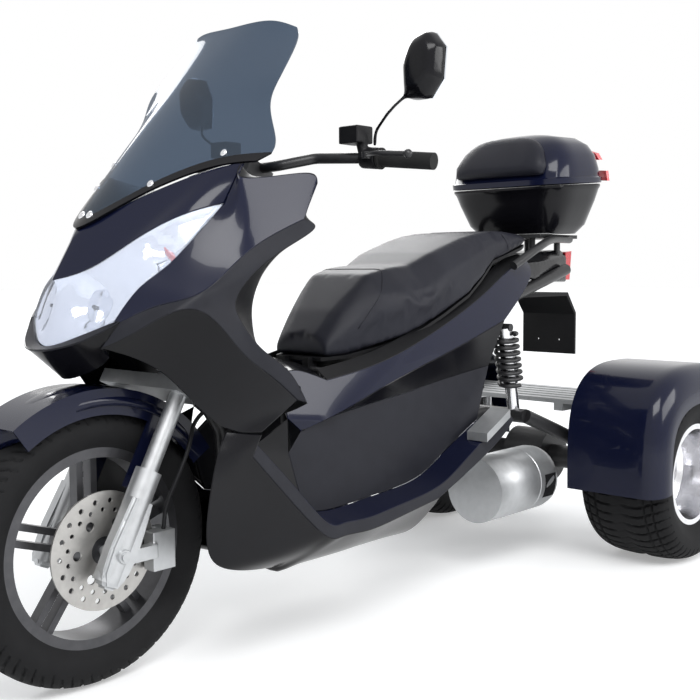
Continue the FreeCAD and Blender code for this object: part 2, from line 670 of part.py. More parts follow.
def front_fender():
    inner = FRONT_RADIUS + size("fender_gap")
    outer = inner + SKIN + 1
    half = size("fender_half")
    crown = ring_about_x([(-half, inner), (half, inner), (half, outer), (-half, outer)], V(0, 0, 0))
    shapes = [crown]
    for side in (-1, 1):
        shapes.append(ring_about_x([(side * half, inner - 44), (side * (half - 4), inner - 44),
                                    (side * (half - 4), inner + 1), (side * half, inner + 1)], V(0, 0, 0)))
    hood = shapes[0].fuse(shapes[1:])
    keep_from, keep_to = -36, 58
    wedge_points = [V(-half - 5, 0, 0)]
    for degrees in range(keep_from, keep_to + 1, 47):
        angle = math.radians(degrees)
        reach = outer * 1.6
        wedge_points.append(V(-half - 5, reach * math.sin(angle), reach * math.cos(angle)))
    wedge = Part.Face(Part.makePolygon(wedge_points + wedge_points[:1])).extrude(V(2 * half + 10, 0, 0))
    hood = hood.common(wedge)
    hood.translate(FRONT_AXLE)
    stays = []
    for side in (-1, 1):
        near, far = side * (half - 4), side * (SPACING - SLIDER - 0.3)
        stays.append(steer_block((min(near, far), -14, 120), (max(near, far), 14, 142)))
        low, high = sorted((side * (half - 4), side * half))
        stays.append(steer_block((low, -14, 130), (high, 14, inner - 30)))
    return hood.fuse(stays).removeSplitter()


feature("front_fender", front_fender())


def caliper():
    disc_gap = 5
    body = block(FRONT_AXLE + V(44, 84, -52), FRONT_AXLE + V(DISC_OUT + 36, 136, 22))
    slot = block(FRONT_AXLE + V(DISC_IN - disc_gap, 80, -60),
                 FRONT_AXLE + V(DISC_OUT + disc_gap, size("disc_radius") + disc_gap, 30))
    arm = block(FRONT_AXLE + V(SPACING - 14, 30, -24), FRONT_AXLE + V(SPACING + 6, 90, 2))
    leg = rod(steer(SPACING, 0, -60), steer(SPACING, 0, 170), SLIDER + 0.3)
    reach = block(FRONT_AXLE + V(SPACING - 14, 0, -24), FRONT_AXLE + V(SPACING + 6, 40, 2))
    return body.cut(slot).fuse([arm, reach]).cut(leg).removeSplitter()


feature("front_brake_caliper", caliper())


def hose():
    top = FRONT_AXLE + V(DISC_OUT + 22, 118, 22)
    points = [top, top + V(6, 2, 46), top + V(18, 24, 100), top + V(16, 52, 150), top + V(4, 74, 196),
              steer(SPACING + 6, OFFSET + 44, YOKE - 6)]
    return pipe(points, 4)


feature("front_brake_hose", hose())

# ---------------------------------------------------------------- panels cut for the steering stem
stem_room = rod(steer(0, OFFSET, 0), steer(0, OFFSET, 1000), size("stem_radius") + 28)
for label in ("headlamp_lens", "visor", "front_cowl", "side_fairings"):
    feature(label, front.shape(label))
for label in ("leg_shield", "instrument_panel"):
    feature(label, front.shape(label).cut(stem_room))
for label in ("belly_pan", "floorboards", "side_covers", "tail_panels"):
    feature(label, lower.shape(label))


def largest(shape):
    return max(shape.Solids, key=lambda solid: solid.Volume)


# these two come from another net than the panels that they meet, so they are cut back to them
screen_neighbours = [front.shape("visor"), front.shape("instrument_panel")]
feature("windscreen", largest(screen.shape("windscreen").cut(screen_neighbours)))
feature("tunnel", largest(lower.shape("tunnel").cut(front.shape("leg_shield"))))

# ---------------------------------------------------------------- headlamp bowl
bowl_outline = [(-20, 670), (0, 735), (80, 796), (110, 780), (60, 700), (20, 670)]
bowl_stay = rod(at(0, 50, 705), at(0, 270, 705), 8)
head_room = rod(steer(0, OFFSET, 0), steer(0, OFFSET, 1000), 24.8)
feature("headlamp_bowl", prism(bowl_outline, -78, 78).fuse(bowl_stay).cut(head_room))

# ---------------------------------------------------------------- frame
TUBE = size("floor_pipe")
HINGE_Y, HINGE_Z, HINGE_PIN = 556, 552, 6


RAIL_POINTS = [(20, 380, 205), (122, 450, 205), (122, 880, 205), (122, 960, 330), (108, 1060, 560),
               (100, 1240, 690), (80, 1560, 765)]
SHOCK_TOP = (148, 1154, 620)


def rail(side, radius):
    return pipe([at(side * x, y, z) for x, y, z in RAIL_POINTS], radius, 60)


def frame():
    head_inner = STEM + size("bearing_clearance")
    head = rod(steer(0, OFFSET, HEAD_LOW), steer(0, OFFSET, HEAD_HIGH), head_inner + size("head_wall"))
    bore = rod(steer(0, OFFSET, 0), steer(0, OFFSET, 1200), head_inner)
    down = steer(0, OFFSET + head_inner + 4, HEAD_LOW + 40)
    spine = pipe([down, at(0, 345, 440), at(0, 352, 300), at(0, 400, 222), at(0, 700, 222)], 22, 60)
    parts = [spine]
    for side in (-1, 1):
        parts.append(rail(side, TUBE))
        low, high = sorted((side * 110, side * 134))
        parts.append(block(at(low, 500, 170.4), at(high, 560, 200)))
        parts.append(rod(at(side * 60, 600, 222), at(side * 60, 556, 545), 10))
        parts.append(rod(at(side * 122, 600, 205), at(side * 60, 600, 222), 10))
    parts.append(rod(at(-70, HINGE_Y, HINGE_Z), at(70, HINGE_Y, HINGE_Z), HINGE_PIN))
    for y, z, half in ((690, 205, 122), (SHOCK_TOP[1], SHOCK_TOP[2], 168), (1500, 750.9, 84)):
        parts.append(rod(at(-half, y, z), at(half, y, z), 10))
    return head.fuse(parts).cut(bore).removeSplitter()


feature("frame", frame())

# ---------------------------------------------------------------- engine and drive line
ENGINE_TOP = 470
engine = doc.addObject("Part::Box", "engine")
bind(engine, Length="Sizes.engine_width", Width="Sizes.engine_length", Height="Sizes.engine_height",
     Placement__Base__x="-Sizes.engine_width / 2")
engine.Placement.Base.y = along(775)
engine.Placement.Base.z = ENGINE_TOP - size("engine_height")
keep(engine, "engine")

ENGINE_BACK = along(775) + size("engine_length")
drum = doc.addObject("Part::Cylinder", "transmission_drum")
drum.Placement = FreeCAD.Placement(V(128, ENGINE_BACK + 0.3, 212), FreeCAD.Rotation(V(1, 0, 0), -90))
bind(drum, Radius="Sizes.drum_radius")
drum.Height = along(1330) - ENGINE_BACK
keep(drum, "transmission_drum")

RADIUS = size("rear_tyre_radius")
REAR_AXLE = V(0, REAR_AXLE_Y, RADIUS)
TRACK = size("track_half")


def rear_axle():
    """Housing tube with the differential, and the two trailing arms that carry it."""
    reach = TRACK - size("rear_tyre_width") / 2 - 24
    tube = rod(REAR_AXLE - V(reach, 0, 0), REAR_AXLE + V(reach, 0, 0), size("axle_tube_radius"))
    casing = rod(REAR_AXLE - V(62, 0, 0), REAR_AXLE + V(62, 0, 0), 74)
    shaft = rod(REAR_AXLE - V(TRACK + 40, 0, 0), REAR_AXLE + V(TRACK + 40, 0, 0), size("stub_radius"))
    parts = [tube, casing, shaft]
    for side in (-1, 1):
        x = side * 232
        parts.append(pipe([V(x, REAR_AXLE_Y, RADIUS + 4), at(x, 1350, 320), at(side * 190, 1190, 392)], 18))
    parts.append(rod(at(-190, 1190, 392), at(190, 1190, 392), 18))
    for side in (-1, 1):
        parts.append(rod(at(side * 72, 1190, 392), V(side * 72, ENGINE_BACK + 0.9, 392), 16))
    return tube.fuse(parts[1:]).removeSplitter()


feature("rear_axle", rear_axle())


def shocks():
    top, foot = at(*SHOCK_TOP), at(150, 1197, 404)
    way = (foot - top).normalize()
    length = (foot - top).Length
    body = rod(top + way * 8, top + way * 70, 20)
    rest = [rod(top + way * 60, foot, 10), rod(top + way * 36, top + way * (length - 56), 31),
            rod(top - V(9, 0, 0), top + V(9, 0, 0), 17)]
    pin = rod(top - V(60, 0, 0), top + V(60, 0, 0), 10.3)
    tube = rod(at(0, 1190, 392), at(200, 1190, 392), 18.3)
    return Part.makeCompound(both(body.fuse(rest).cut([pin, tube]).removeSplitter()))


feature("rear_shocks", shocks())


def silencer():
    can = rod(at(-196, 1040, 250), at(-200, 1262, 268), 54)
    downpipe = pipe([at(-60, 850, 249.7), at(-60, 850, 205), at(-100, 880, 160), at(-170, 950, 170),
                     at(-196, 1060, 250)], 17, 30)
    return can.fuse(downpipe).removeSplitter()


feature("silencer", silencer())

# ---------------------------------------------------------------- rear wheels
REAR_BEAD = size("rear_bead_radius")
REAR_HALF_TYRE = size("rear_tyre_width") / 2
REAR_HALF_RIM = size("rear_rim_width") / 2


def rear_rim(side):
    bore = size("stub_radius") + size("axle_clearance")
    half = REAR_HALF_RIM
    disc_x = -10
    profile = [(-half, REAR_BEAD + FLANGE), (6 - half, REAR_BEAD + FLANGE), (6 - half, REAR_BEAD),
               (half - 6, REAR_BEAD), (half - 6, REAR_BEAD + FLANGE), (half, REAR_BEAD + FLANGE),
               (half, REAR_BEAD - 8), (half - 20, REAR_BEAD - 12), (disc_x + 30, REAR_BEAD - 22),
               (disc_x + 8, 70), (disc_x + 8, 42), (disc_x + 44, 38), (disc_x + 44, bore),
               (disc_x - 12, bore), (disc_x - 12, 66), (disc_x, REAR_BEAD - 12), (-half, REAR_BEAD - 8)]
    rim = ring_about_x(profile, V(0, 0, 0))
    bolts = [rod(V(disc_x + 6, 55 * math.cos(math.radians(90 * i + 45)), 55 * math.sin(math.radians(90 * i + 45))),
                 V(disc_x + 20, 55 * math.cos(math.radians(90 * i + 45)),
                   55 * math.sin(math.radians(90 * i + 45))), 8) for i in range(4)]
    rim = rim.fuse(bolts)
    if side < 0:
        rim = rim.mirror(V(0, 0, 0), V(1, 0, 0))
    rim.translate(REAR_AXLE + V(side * TRACK, 0, 0))
    return rim


for name, side in (("left", 1), ("right", -1)):
    across = "Sizes.track_half" if side > 0 else "-Sizes.track_half"
    wheel_body("rear_tyre_" + name, tyre_profile(RADIUS, REAR_HALF_TYRE, REAR_BEAD, REAR_HALF_RIM - 6, 8),
               REAR_Y, "Sizes.rear_tyre_radius", across)
    feature("rear_rim_" + name, rear_rim(side))


def rear_fenders():
    """A hood over each rear wheel: crown, outer skirt and inner wall, open below."""
    gap = size("rear_fender_gap")
    rise = size("rear_fender_rise")
    inner_x = TRACK - REAR_HALF_TYRE - 12
    outer_x = TRACK + REAR_HALF_TYRE + 12

    def outline(grow):
        points = []
        for degrees in range(-96, 97, 16):
            angle = math.radians(degrees)
            reach = RADIUS + gap + grow
            points.append((reach * math.sin(angle), (reach + rise) * math.cos(angle)))
        return points

    def slab(points, low, high):
        corners = [V(low, REAR_AXLE_Y + y, RADIUS + z) for y, z in points]
        return Part.Face(Part.makePolygon(corners + corners[:1])).extrude(V(high - low, 0, 0))

    solid = slab(outline(SKIN + 1), inner_x, outer_x)
    hollow = slab(outline(0), inner_x + 4, outer_x - 4)
    floor = Part.makeBox(outer_x - inner_x + 20, 900, RADIUS + 25, V(inner_x - 10, REAR_AXLE_Y - 450, -10))
    arch = rod(V(outer_x - 20, REAR_AXLE_Y, RADIUS - 30), V(outer_x + 20, REAR_AXLE_Y, RADIUS - 30), 240)
    tyre_room = rod(V(inner_x - 20, REAR_AXLE_Y, RADIUS), V(inner_x + 20, REAR_AXLE_Y, RADIUS), 150)
    slot = block(V(inner_x - 20, REAR_AXLE_Y - 150, -10), V(inner_x + 20, REAR_AXLE_Y + 150, RADIUS))
    hood = solid.cut([hollow, floor, arch, tyre_room, slot])
    return Part.makeCompound(both(hood))


feature("rear_fenders", rear_fenders())


def axle_rack():
    """Slatted plate between the fenders, on two bearers."""
    inner_x = TRACK - REAR_HALF_TYRE - 12 - 0.3
    low, high = 405, 417
    slats = [block(V(-inner_x, along(1380 + 46 * i), low), V(inner_x, along(1380 + 46 * i) + 30, high))
             for i in range(6)]
    bearers = [block(V(x - 14, along(1380), low - 20), V(x + 14, along(1640), low + 1)) for x in (-170, 170)]
    posts = [rod(V(x, along(1533), RADIUS + size("axle_tube_radius") + 0.3), V(x, along(1533), low - 10), 12) for x in (-170, 170)]
    return slats[0].fuse(slats[1:] + bearers + posts).removeSplitter()


feature("axle_rack", axle_rack())

# ---------------------------------------------------------------- tail


def tail():
    stations = [(1200, 128, 752, 776), (1300, 112, 745, 800), (1400, 96, 735, 812), (1520, 74, 730, 820),
                (1604, 56, 728, 822)]
    return lofted(stations)


tail_solid = tail()
rails_room = [rail(side, TUBE + 0.3) for side in (-1, 1)]
rails_room.append(rod(at(-84, 1500, 750.9), at(84, 1500, 750.9), 10.3))
tail_shape = tail_solid.cut(rails_room)
feature("tail_cover", tail_shape)
feature("tail_lamp", prism([(1604.3, 735), (1604.3, 815), (1637, 818), (1628, 735)], -52, 52))
plate_holes = [rod(at(x, 1580, 560), at(x, 1620, 560), size("plate_hole_radius")) for x in (-35, 35)]
feature("tail_mudguard", prism([(1230, 700), (1560, 700), (1606, 640), (1606, 520), (1599, 520),
                                (1599, 636), (1554, 690), (1230, 690)], -88, 88).cut(rails_room + plate_holes))


def grab_rail():
    """Tube rail either side of the pillion seat, and the carrier plate that holds the top box."""
    side = pipe([at(150, 1190, 776), at(156, 1300, 826), at(120, 1420, 850), at(90, 1560, 850)], 11)
    plate = block(at(-98, 1395, 852), at(98, 1590, 862))
    feet = [rod(at(x, y, 780), at(x, y, 853), 9) for x in (-50, 50) for y in (1430, 1560)]
    return plate.fuse(both(side) + feet).cut(tail_shape).removeSplitter()


feature("grab_rail", grab_rail())

# ---------------------------------------------------------------- top box
BOX_CUT_FRONT = (1348, 986)
BOX_CUT_BACK = (1619, 1015)


def box_ring(front_point, back_point, half, corner, lift=0.0, inset=0.0):
    (y0, z0), (y1, z1) = front_point, back_point
    y0, y1, half = y0 + inset, y1 - inset, half - inset

    def height(y):
        return z0 + (z1 - z0) * (y - y0) / (y1 - y0) + lift

    outline = [(-half, y0 + corner), (-half, y1 - corner), (corner - half, y1), (half - corner, y1),
               (half, y1 - corner), (half, y0 + corner), (half - corner, y0), (corner - half, y0)]
    points = [at(x, y, height(y)) for x, y in outline]
    return Part.makePolygon(points + points[:1])


def box_base():
    wall = size("box_wall")
    outer = Part.makeLoft([box_ring((1392, 862.3), (1598, 862.3), 128, 26),
                           box_ring(BOX_CUT_FRONT, BOX_CUT_BACK, 196, 46)], True, True)
    inner = Part.makeLoft([box_ring((1392, 862.3), (1598, 862.3), 128, 26, wall, wall),
                           box_ring(BOX_CUT_FRONT, BOX_CUT_BACK, 196, 46, 0.2, wall)], True, True)
    return outer.cut(inner)


def box_lid():
    wall = size("box_wall")
    rings = [box_ring(BOX_CUT_FRONT, BOX_CUT_BACK, 196, 46, 5.5),
             box_ring((1372, 1090), (1612, 1108), 176, 52),
             box_ring((1420, 1137), (1570, 1142), 120, 50)]
    inner_rings = [box_ring(BOX_CUT_FRONT, BOX_CUT_BACK, 196, 46, 5.3, wall),
                   box_ring((1372, 1090), (1612, 1108), 176, 52, -1, wall),
                   box_ring((1420, 1137), (1570, 1142), 120, 50, -wall, wall)]
    return Part.makeLoft(rings, True, True).cut(Part.makeLoft(inner_rings, True, True))


LID_HINGE = (1334, 992)


def lid_hinge(side):
    """Two ears and a pin on the base; a lug on the lid turns on the pin."""
    y, z = LID_HINGE
    def strip(x0, x1, shape_points):
        low, high = sorted((side * x0, side * x1))
        return prism(shape_points, low, high)
    ear = [(y - 7, z - 14), (y + 30, z - 40), (y + 38, z - 20), (y + 9, z - 10), (y + 6, z + 2), (y + 3, z + 6), (y - 7, z + 7)]
    ears = [strip(100, 106, ear), strip(128, 134, ear)]
    pin = rod(at(side * 98, y, z), at(side * 136, y, z), 3)
    lug = strip(108, 126, [(y - 7, z - 7), (y + 8, z - 7), (y + 22, z + 6), (y + 34, z + 30), (y + 10, z + 20),
                           (y - 7, z + 7)])
    bore = rod(at(side * 90, y, z), at(side * 140, y, z), 3.3)
    return ears, pin, lug.cut(bore)


hinge_left, hinge_right = lid_hinge(1), lid_hinge(-1)
base_inside = Part.makeLoft([box_ring((1392, 862.3), (1598, 862.3), 128, 26, 0, 2),
                             box_ring(BOX_CUT_FRONT, BOX_CUT_BACK, 196, 46, 1, 2)], True, True)
lid_inside = Part.makeLoft([box_ring(BOX_CUT_FRONT, BOX_CUT_BACK, 196, 46, 5, 2),
                            box_ring((1372, 1090), (1612, 1108), 176, 52, 0, 2)], True, True)
ears = [ear.cut(base_inside) for ear in hinge_left[0] + hinge_right[0]]
pins = [hinge_left[1], hinge_right[1]]
lugs = [hinge_left[2].cut(lid_inside), hinge_right[2].cut(lid_inside)]
feature("box_base", box_base().fuse(ears + pins).removeSplitter())
feature("box_lid", box_lid().fuse(lugs).removeSplitter())
feature("box_backrest", prism([(1322, 1006), (1349, 997), (1369.2, 1080), (1348, 1090), (1330, 1084)], -92, 92))

# ---------------------------------------------------------------- seat
SEAT = [(562, 85, 578, 604), (620, 108, 582, 672), (700, 132, 597, 752), (760, 150, 612, 766),
        (830, 160, 636, 772), (900, 166, 666, 802), (1000, 163, 708, 833), (1060, 158, 746, 847),
        (1120, 150, 790, 855), (1200, 140, 808, 858), (1290, 122, 826, 852), (1334, 100, 834, 846)]
feature("seat", lofted(SEAT))


def seat_pan():
    thickness = size("pan_thickness")
    clearance = 0.3
    stations = [(y, half - 14, low - clearance - thickness, low - clearance) for y, half, low, high in SEAT]
    wires = []
    for y, half, low, high in stations:
        points = [at(x, y, z) for x, z in ((-half, low), (half, low), (half, high), (-half, high))]
        wires.append(Part.makePolygon(points + points[:1]))
    pan = Part.makeLoft(wires, True, True)
    lugs = []
    for side in (-1, 1):
        low, high = sorted((side * 28, side * 46))
        lugs.append(block(at(low, 556 - 9, HINGE_Z), at(high, 574, 578)))
        lugs.append(rod(at(low, HINGE_Y, HINGE_Z), at(high, HINGE_Y, HINGE_Z), 9))
    pin = rod(at(-80, HINGE_Y, HINGE_Z), at(80, HINGE_Y, HINGE_Z), HINGE_PIN + 0.3)
    cushion = lofted(SEAT)
    return pan.fuse(lugs).cut([pin, cushion]).removeSplitter()


feature("seat_pan", seat_pan())

# ---------------------------------------------------------------- pillion pegs
peg = prism([(925, 366), (1020, 414), (1020, 434), (925, 386)], 200, 258).cut(lower.shape("floorboards"))
feature("pillion_pegs", Part.makeCompound(both(largest(peg))))

# ---------------------------------------------------------------- write the parts
doc.recompute()
for item in doc.Objects:
    if "Invalid" in item.State or "Error" in item.State:
        raise RuntimeError(f"{item.Label} is {item.State}")
os.makedirs("parts", exist_ok=True)
for item in nodes:
    shape = item.Shape
    if shape.isNull() or not shape.isValid():
        raise RuntimeError(f"{item.Label} has no valid shape")
    shape.exportStep(f"parts/{item.Label}.step")
    box = shape.BoundBox
    print(f"{item.Label:22s} solids {len(shape.Solids)} volume {shape.Volume / 1e6:8.3f} l  "
          f"x {box.XMin:.0f}..{box.XMax:.0f} y {box.YMin:.0f}..{box.YMax:.0f} z {box.ZMin:.0f}..{box.ZMax:.0f}")
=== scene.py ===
# %% [markdown]
# # A motor trike, finished piece by piece
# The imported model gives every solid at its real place. This file adds the looks: moulded body panels, paint,
# tinted screen, tyres, a stitched seat. All lengths are metres; +X is the trike's left, +Y its rear, +Z up.

# %% The frame
import json
import math

import bmesh
import bpy
from mathutils import Matrix, Vector


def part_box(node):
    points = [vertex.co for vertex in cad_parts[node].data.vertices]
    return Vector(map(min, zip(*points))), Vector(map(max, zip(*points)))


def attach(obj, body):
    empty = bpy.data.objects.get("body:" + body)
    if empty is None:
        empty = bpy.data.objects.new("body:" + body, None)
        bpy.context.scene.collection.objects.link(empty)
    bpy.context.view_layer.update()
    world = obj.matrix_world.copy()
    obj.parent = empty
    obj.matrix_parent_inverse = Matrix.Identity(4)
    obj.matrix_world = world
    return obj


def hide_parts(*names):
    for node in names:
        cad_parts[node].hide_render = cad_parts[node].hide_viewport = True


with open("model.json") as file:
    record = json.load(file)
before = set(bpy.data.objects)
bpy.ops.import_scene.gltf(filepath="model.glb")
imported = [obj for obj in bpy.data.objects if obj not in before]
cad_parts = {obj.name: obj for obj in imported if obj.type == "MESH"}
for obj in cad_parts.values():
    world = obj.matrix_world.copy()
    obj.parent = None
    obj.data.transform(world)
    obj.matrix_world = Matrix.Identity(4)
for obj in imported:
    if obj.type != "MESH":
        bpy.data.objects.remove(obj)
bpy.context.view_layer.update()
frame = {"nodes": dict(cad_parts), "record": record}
nodes = frame["nodes"]
scene = bpy.context.scene

# %% [markdown]
# ## Camera first
# The camera stands ahead of the left front corner at about seat height and looks slightly down. Its place is
# given from the front axle, so the whole view follows the wheelbase.

# %% Camera
front_axle = (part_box("front_tyre")[0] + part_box("front_tyre")[1]) / 2
EYE = Vector((1.6756, front_axle.y - 1.0881, 0.7776))
SENSOR, LENS = 36, 54.30
YAW, PITCH, ROLL = math.radians(42.608), math.radians(4.545), math.radians(-0.2845)


def add_camera():
    look = Vector((-math.sin(YAW) * math.cos(PITCH), math.cos(YAW) * math.cos(PITCH), -math.sin(PITCH)))
    level = Vector((math.cos(YAW), math.sin(YAW), 0))
    upright = level.cross(look)
    right = level * math.cos(ROLL) + upright * math.sin(ROLL)
    up = upright * math.cos(ROLL) - level * math.sin(ROLL)
    data = bpy.data.cameras.new("camera")
    data.sensor_width, data.lens = SENSOR, LENS
    camera = bpy.data.objects.new("camera", data)
    camera.matrix_world = Matrix((
        (right.x, up.x, -look.x, EYE.x), (right.y, up.y, -look.y, EYE.y),
        (right.z, up.z, -look.z, EYE.z), (0, 0, 0, 1)))
    scene.collection.objects.link(camera)
    scene.camera = camera


add_camera()

# %% [markdown]
# ## Shader arithmetic
# `Wire` wraps a socket so that shader maths reads like ordinary maths: each operator adds one Math node.
# `Finish` holds one material and has a single method, `node`, that adds every other kind of node.


# %% Wires
class Wire:
    def __init__(self, tree, socket):
        self.tree, self.socket = tree, socket

    def maths(self, operation, *values):
        made = self.tree.nodes.new("ShaderNodeMath")
        made.operation = operation
        for slot, value in zip(made.inputs, values):
            if isinstance(value, Wire):
                self.tree.links.new(value.socket, slot)
            else:
                slot.default_value = value
        return Wire(self.tree, made.outputs[0])

    def __add__(self, other):
        return self.maths("ADD", self, other)

    __radd__ = __add__

    def __mul__(self, other):
        return self.maths("MULTIPLY", self, other)

    __rmul__ = __mul__


class Finish:
    def __init__(self, name):
        self.material = bpy.data.materials.new(name)
        self.material.use_nodes = True
        self.tree = self.material.node_tree
        self.tree.nodes.clear()
        self.output = self.tree.nodes.new("ShaderNodeOutputMaterial")

    def node(self, kind, settings=None, out=0, **sockets):
        made = self.tree.nodes.new("ShaderNode" + kind)
        for name, value in (settings or {}).items():
            setattr(made, name, value)
        for name, value in sockets.items():
            slot = made.inputs[int(name[1:])] if name[1:].isdigit() else made.inputs[name.replace("_", " ")]
            if isinstance(value, Wire):
                self.tree.links.new(value.socket, slot)
            else:
                slot.default_value = value
        return Wire(self.tree, made.outputs[out])

    def place(self):
        return self.node("TexCoord", out=3)

    def noise(self, scale, detail):
        return self.node("TexNoise", Vector=self.place(), Scale=scale, Detail=detail)

    def cells(self, scale, feature="F1"):
        return self.node("TexVoronoi", {"feature": feature}, Vector=self.place(), Scale=scale)

    def blend(self, factor, first, second):
        return self.node("Mix", {"data_type": "RGBA"}, out=2, i0=factor, i6=first, i7=second)

    def bump(self, height, strength, distance=0.001):
        return self.node("Bump", Height=height, Strength=strength, Distance=distance)

    def shown(self, shader):
        self.tree.links.new(shader.socket, self.output.inputs[0])
        return self.material

    def surface(self, **sockets):
        return self.shown(self.node("BsdfPrincipled", **sockets))


print("shader tools ready")

# %% [markdown]
# ## Finishes
# Paint is a dark navy metallic base with tiny flakes under a clear coat. The charcoal trims are grained
# plastic, so their roughness and bump come from fine noise. Metals differ mainly in tone, in roughness and in
# how much their fine scratches show.


# %% Paint and plastics
def rgb(red, green, blue):
    return (red, green, blue, 1.0)


def navy_paint():
    f = Finish("navy_paint")
    flakes = f.cells(2600)
    cloud = f.noise(3.0, 2.0)
    base = f.blend(cloud, rgb(0.0025, 0.0035, 0.0125), rgb(0.004, 0.0055, 0.019))
    tint = f.blend(flakes, base, rgb(0.006, 0.008, 0.027))
    peel = f.noise(260, 1.0)
    return f.surface(Base_Color=tint, Roughness=0.16 + 0.05 * cloud, Coat_Weight=0.32, Coat_Roughness=0.02,
                     Coat_IOR=1.4, Specular_IOR_Level=0.16, Normal=f.bump(peel, 0.03, 0.0003))


def gloss_black():
    f = Finish("gloss_black_plastic")
    wear = f.noise(14, 4.0)
    return f.surface(Base_Color=f.blend(wear, rgb(0.003, 0.003, 0.004), rgb(0.006, 0.006, 0.008)),
                     Roughness=0.14 + 0.06 * wear, Specular_IOR_Level=0.2,
                     Normal=f.bump(f.noise(180, 1.0), 0.04, 0.0003))


def grained(name, dark, light, roughness, strength, scale=1500):
    f = Finish(name)
    mottle = f.noise(30, 5.0)
    grain = f.cells(scale, "SMOOTH_F1")
    return f.surface(Base_Color=f.blend(mottle, dark, light), Roughness=roughness + 0.12 * mottle,
                     Specular_IOR_Level=0.16, Normal=f.bump(grain, strength, 0.0005))


def metal(name, dark, light, roughness, brushed=0.0, scale=60, metallic=1.0):
    f = Finish(name)
    cloud = f.noise(scale, 5.0)
    fine = f.noise(scale * 14, 2.0)
    return f.surface(Base_Color=f.blend(cloud, dark, light), Metallic=metallic,
                     Roughness=roughness + 0.10 * cloud + brushed * fine, Normal=f.bump(fine, 0.08, 0.0003))


def tyre_rubber():
    f = Finish("tyre_rubber")
    dust = f.noise(22, 6.0)
    fine = f.noise(500, 3.0)
    return f.surface(Base_Color=f.blend(dust, rgb(0.006, 0.006, 0.0065), rgb(0.016, 0.016, 0.017)),
                     Specular_IOR_Level=0.14, Roughness=0.62 + 0.2 * dust, Normal=f.bump(fine, 0.25, 0.0006))


def seat_vinyl():
    f = Finish("seat_vinyl")
    hides = f.noise(9, 4.0)
    pores = f.cells(900, "DISTANCE_TO_EDGE")
    return f.surface(Base_Color=f.blend(hides, rgb(0.009, 0.009, 0.014), rgb(0.017, 0.018, 0.025)),
                     Specular_IOR_Level=0.18, Roughness=0.38 + 0.12 * hides,
                     Normal=f.bump(pores, 0.35, 0.0006))


def tinted_screen():
    f = Finish("tinted_screen")
    smoke = f.noise(2.0, 1.0)
    clear = f.node("BsdfTransparent", Color=(0.30, 0.36, 0.44, 1.0))
    sheen = f.node("BsdfPrincipled", Base_Color=f.blend(smoke, rgb(0.05, 0.07, 0.10), rgb(0.07, 0.10, 0.14)),
                   Roughness=0.04, Specular_IOR_Level=0.6)
    return f.shown(f.node("MixShader", i0=0.38, i1=clear, i2=sheen))


def clear_lens():
    f = Finish("clear_lens")
    clear = f.node("BsdfTransparent", Color=(0.96, 0.97, 1.0, 1.0))
    ripple = f.bump(f.noise(40, 1.0), 0.05, 0.001)
    sheen = f.node("BsdfPrincipled", Base_Color=rgb(0.8, 0.84, 0.9), Roughness=0.03, Normal=ripple)
    return f.shown(f.node("MixShader", i0=0.16, i1=clear, i2=sheen))


def red_lens():
    f = Finish("red_lens")
    prisms = f.cells(420)
    return f.surface(Base_Color=f.blend(prisms, rgb(0.45, 0.01, 0.02), rgb(0.75, 0.05, 0.06)), Roughness=0.12,
                     Coat_Weight=0.6, Normal=f.bump(prisms, 0.5, 0.001))


finishes = {
    "paint": navy_paint(),
    "gloss_black": gloss_black(),
    "charcoal": grained("charcoal_plastic", rgb(0.012, 0.012, 0.016), rgb(0.020, 0.021, 0.027), 0.40, 0.25),
    "black_plastic": grained("black_plastic", rgb(0.004, 0.004, 0.005), rgb(0.009, 0.009, 0.010), 0.40, 0.25),
    "screen": tinted_screen(),
    "clear_lens": clear_lens(),
    "reflector": metal("lamp_reflector", rgb(0.80, 0.82, 0.86), rgb(0.92, 0.93, 0.96), 0.06),
    "vinyl": seat_vinyl(),
    "grip_rubber": grained("grip_rubber", rgb(0.012, 0.012, 0.012), rgb(0.025, 0.025, 0.025), 0.7, 0.6, 700),
    "tyre": tyre_rubber(),
    "dark_alloy": metal("dark_alloy", rgb(0.05, 0.05, 0.055), rgb(0.09, 0.09, 0.095), 0.28, metallic=0.7),
    "polished_alloy": metal("polished_alloy", rgb(0.62, 0.62, 0.64), rgb(0.80, 0.80, 0.82), 0.10, 0.05),
    "disc_steel": metal("disc_steel", rgb(0.34, 0.33, 0.32), rgb(0.50, 0.49, 0.47), 0.26, 0.15),
    "silver_alloy": metal("silver_alloy", rgb(0.42, 0.43, 0.44), rgb(0.55, 0.56, 0.57), 0.30, 0.10,
                          metallic=0.8),
    "black_steel": metal("black_steel", rgb(0.012, 0.012, 0.013), rgb(0.025, 0.025, 0.027), 0.34,
                         metallic=0.2),
    "red_lens": red_lens(),
    "mirror": metal("mirror_glass", rgb(0.72, 0.75, 0.80), rgb(0.78, 0.81, 0.86), 0.02, scale=4),
    "hose": grained("hose_rubber", rgb(0.012, 0.012, 0.013), rgb(0.02, 0.02, 0.022), 0.4, 0.2),
}


def wear(piece, slot):
    piece.data.materials.clear()
    piece.data.materials.append(finishes[slot])


slot_of = {entry["node"]: entry["material_slot"] for entry in frame["record"]["subparts"]}
for name, node in nodes.items():
    wear(node, slot_of[name])
print("finishes", len(finishes))

# %% [markdown]
# ## Building tools
# Places are given as drawn: millimetres across, behind the front axle, and up. `spot` turns such a place into
# the frame, and stretches the middle of the trike if its wheelbase differs. Each finished mesh is marked with
# the body it moves with and the finish it takes.

# %% Places and pieces
rear_axle = (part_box("rear_tyre_left")[0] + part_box("rear_tyre_left")[1]) / 2
rear_axle.x = 0
DRAWN_WHEELBASE, STRETCH_FROM, STRETCH_TO = 1533.0, 450.0, 1000.0
EXTRA = (rear_axle.y - front_axle.y) * 1000 - DRAWN_WHEELBASE


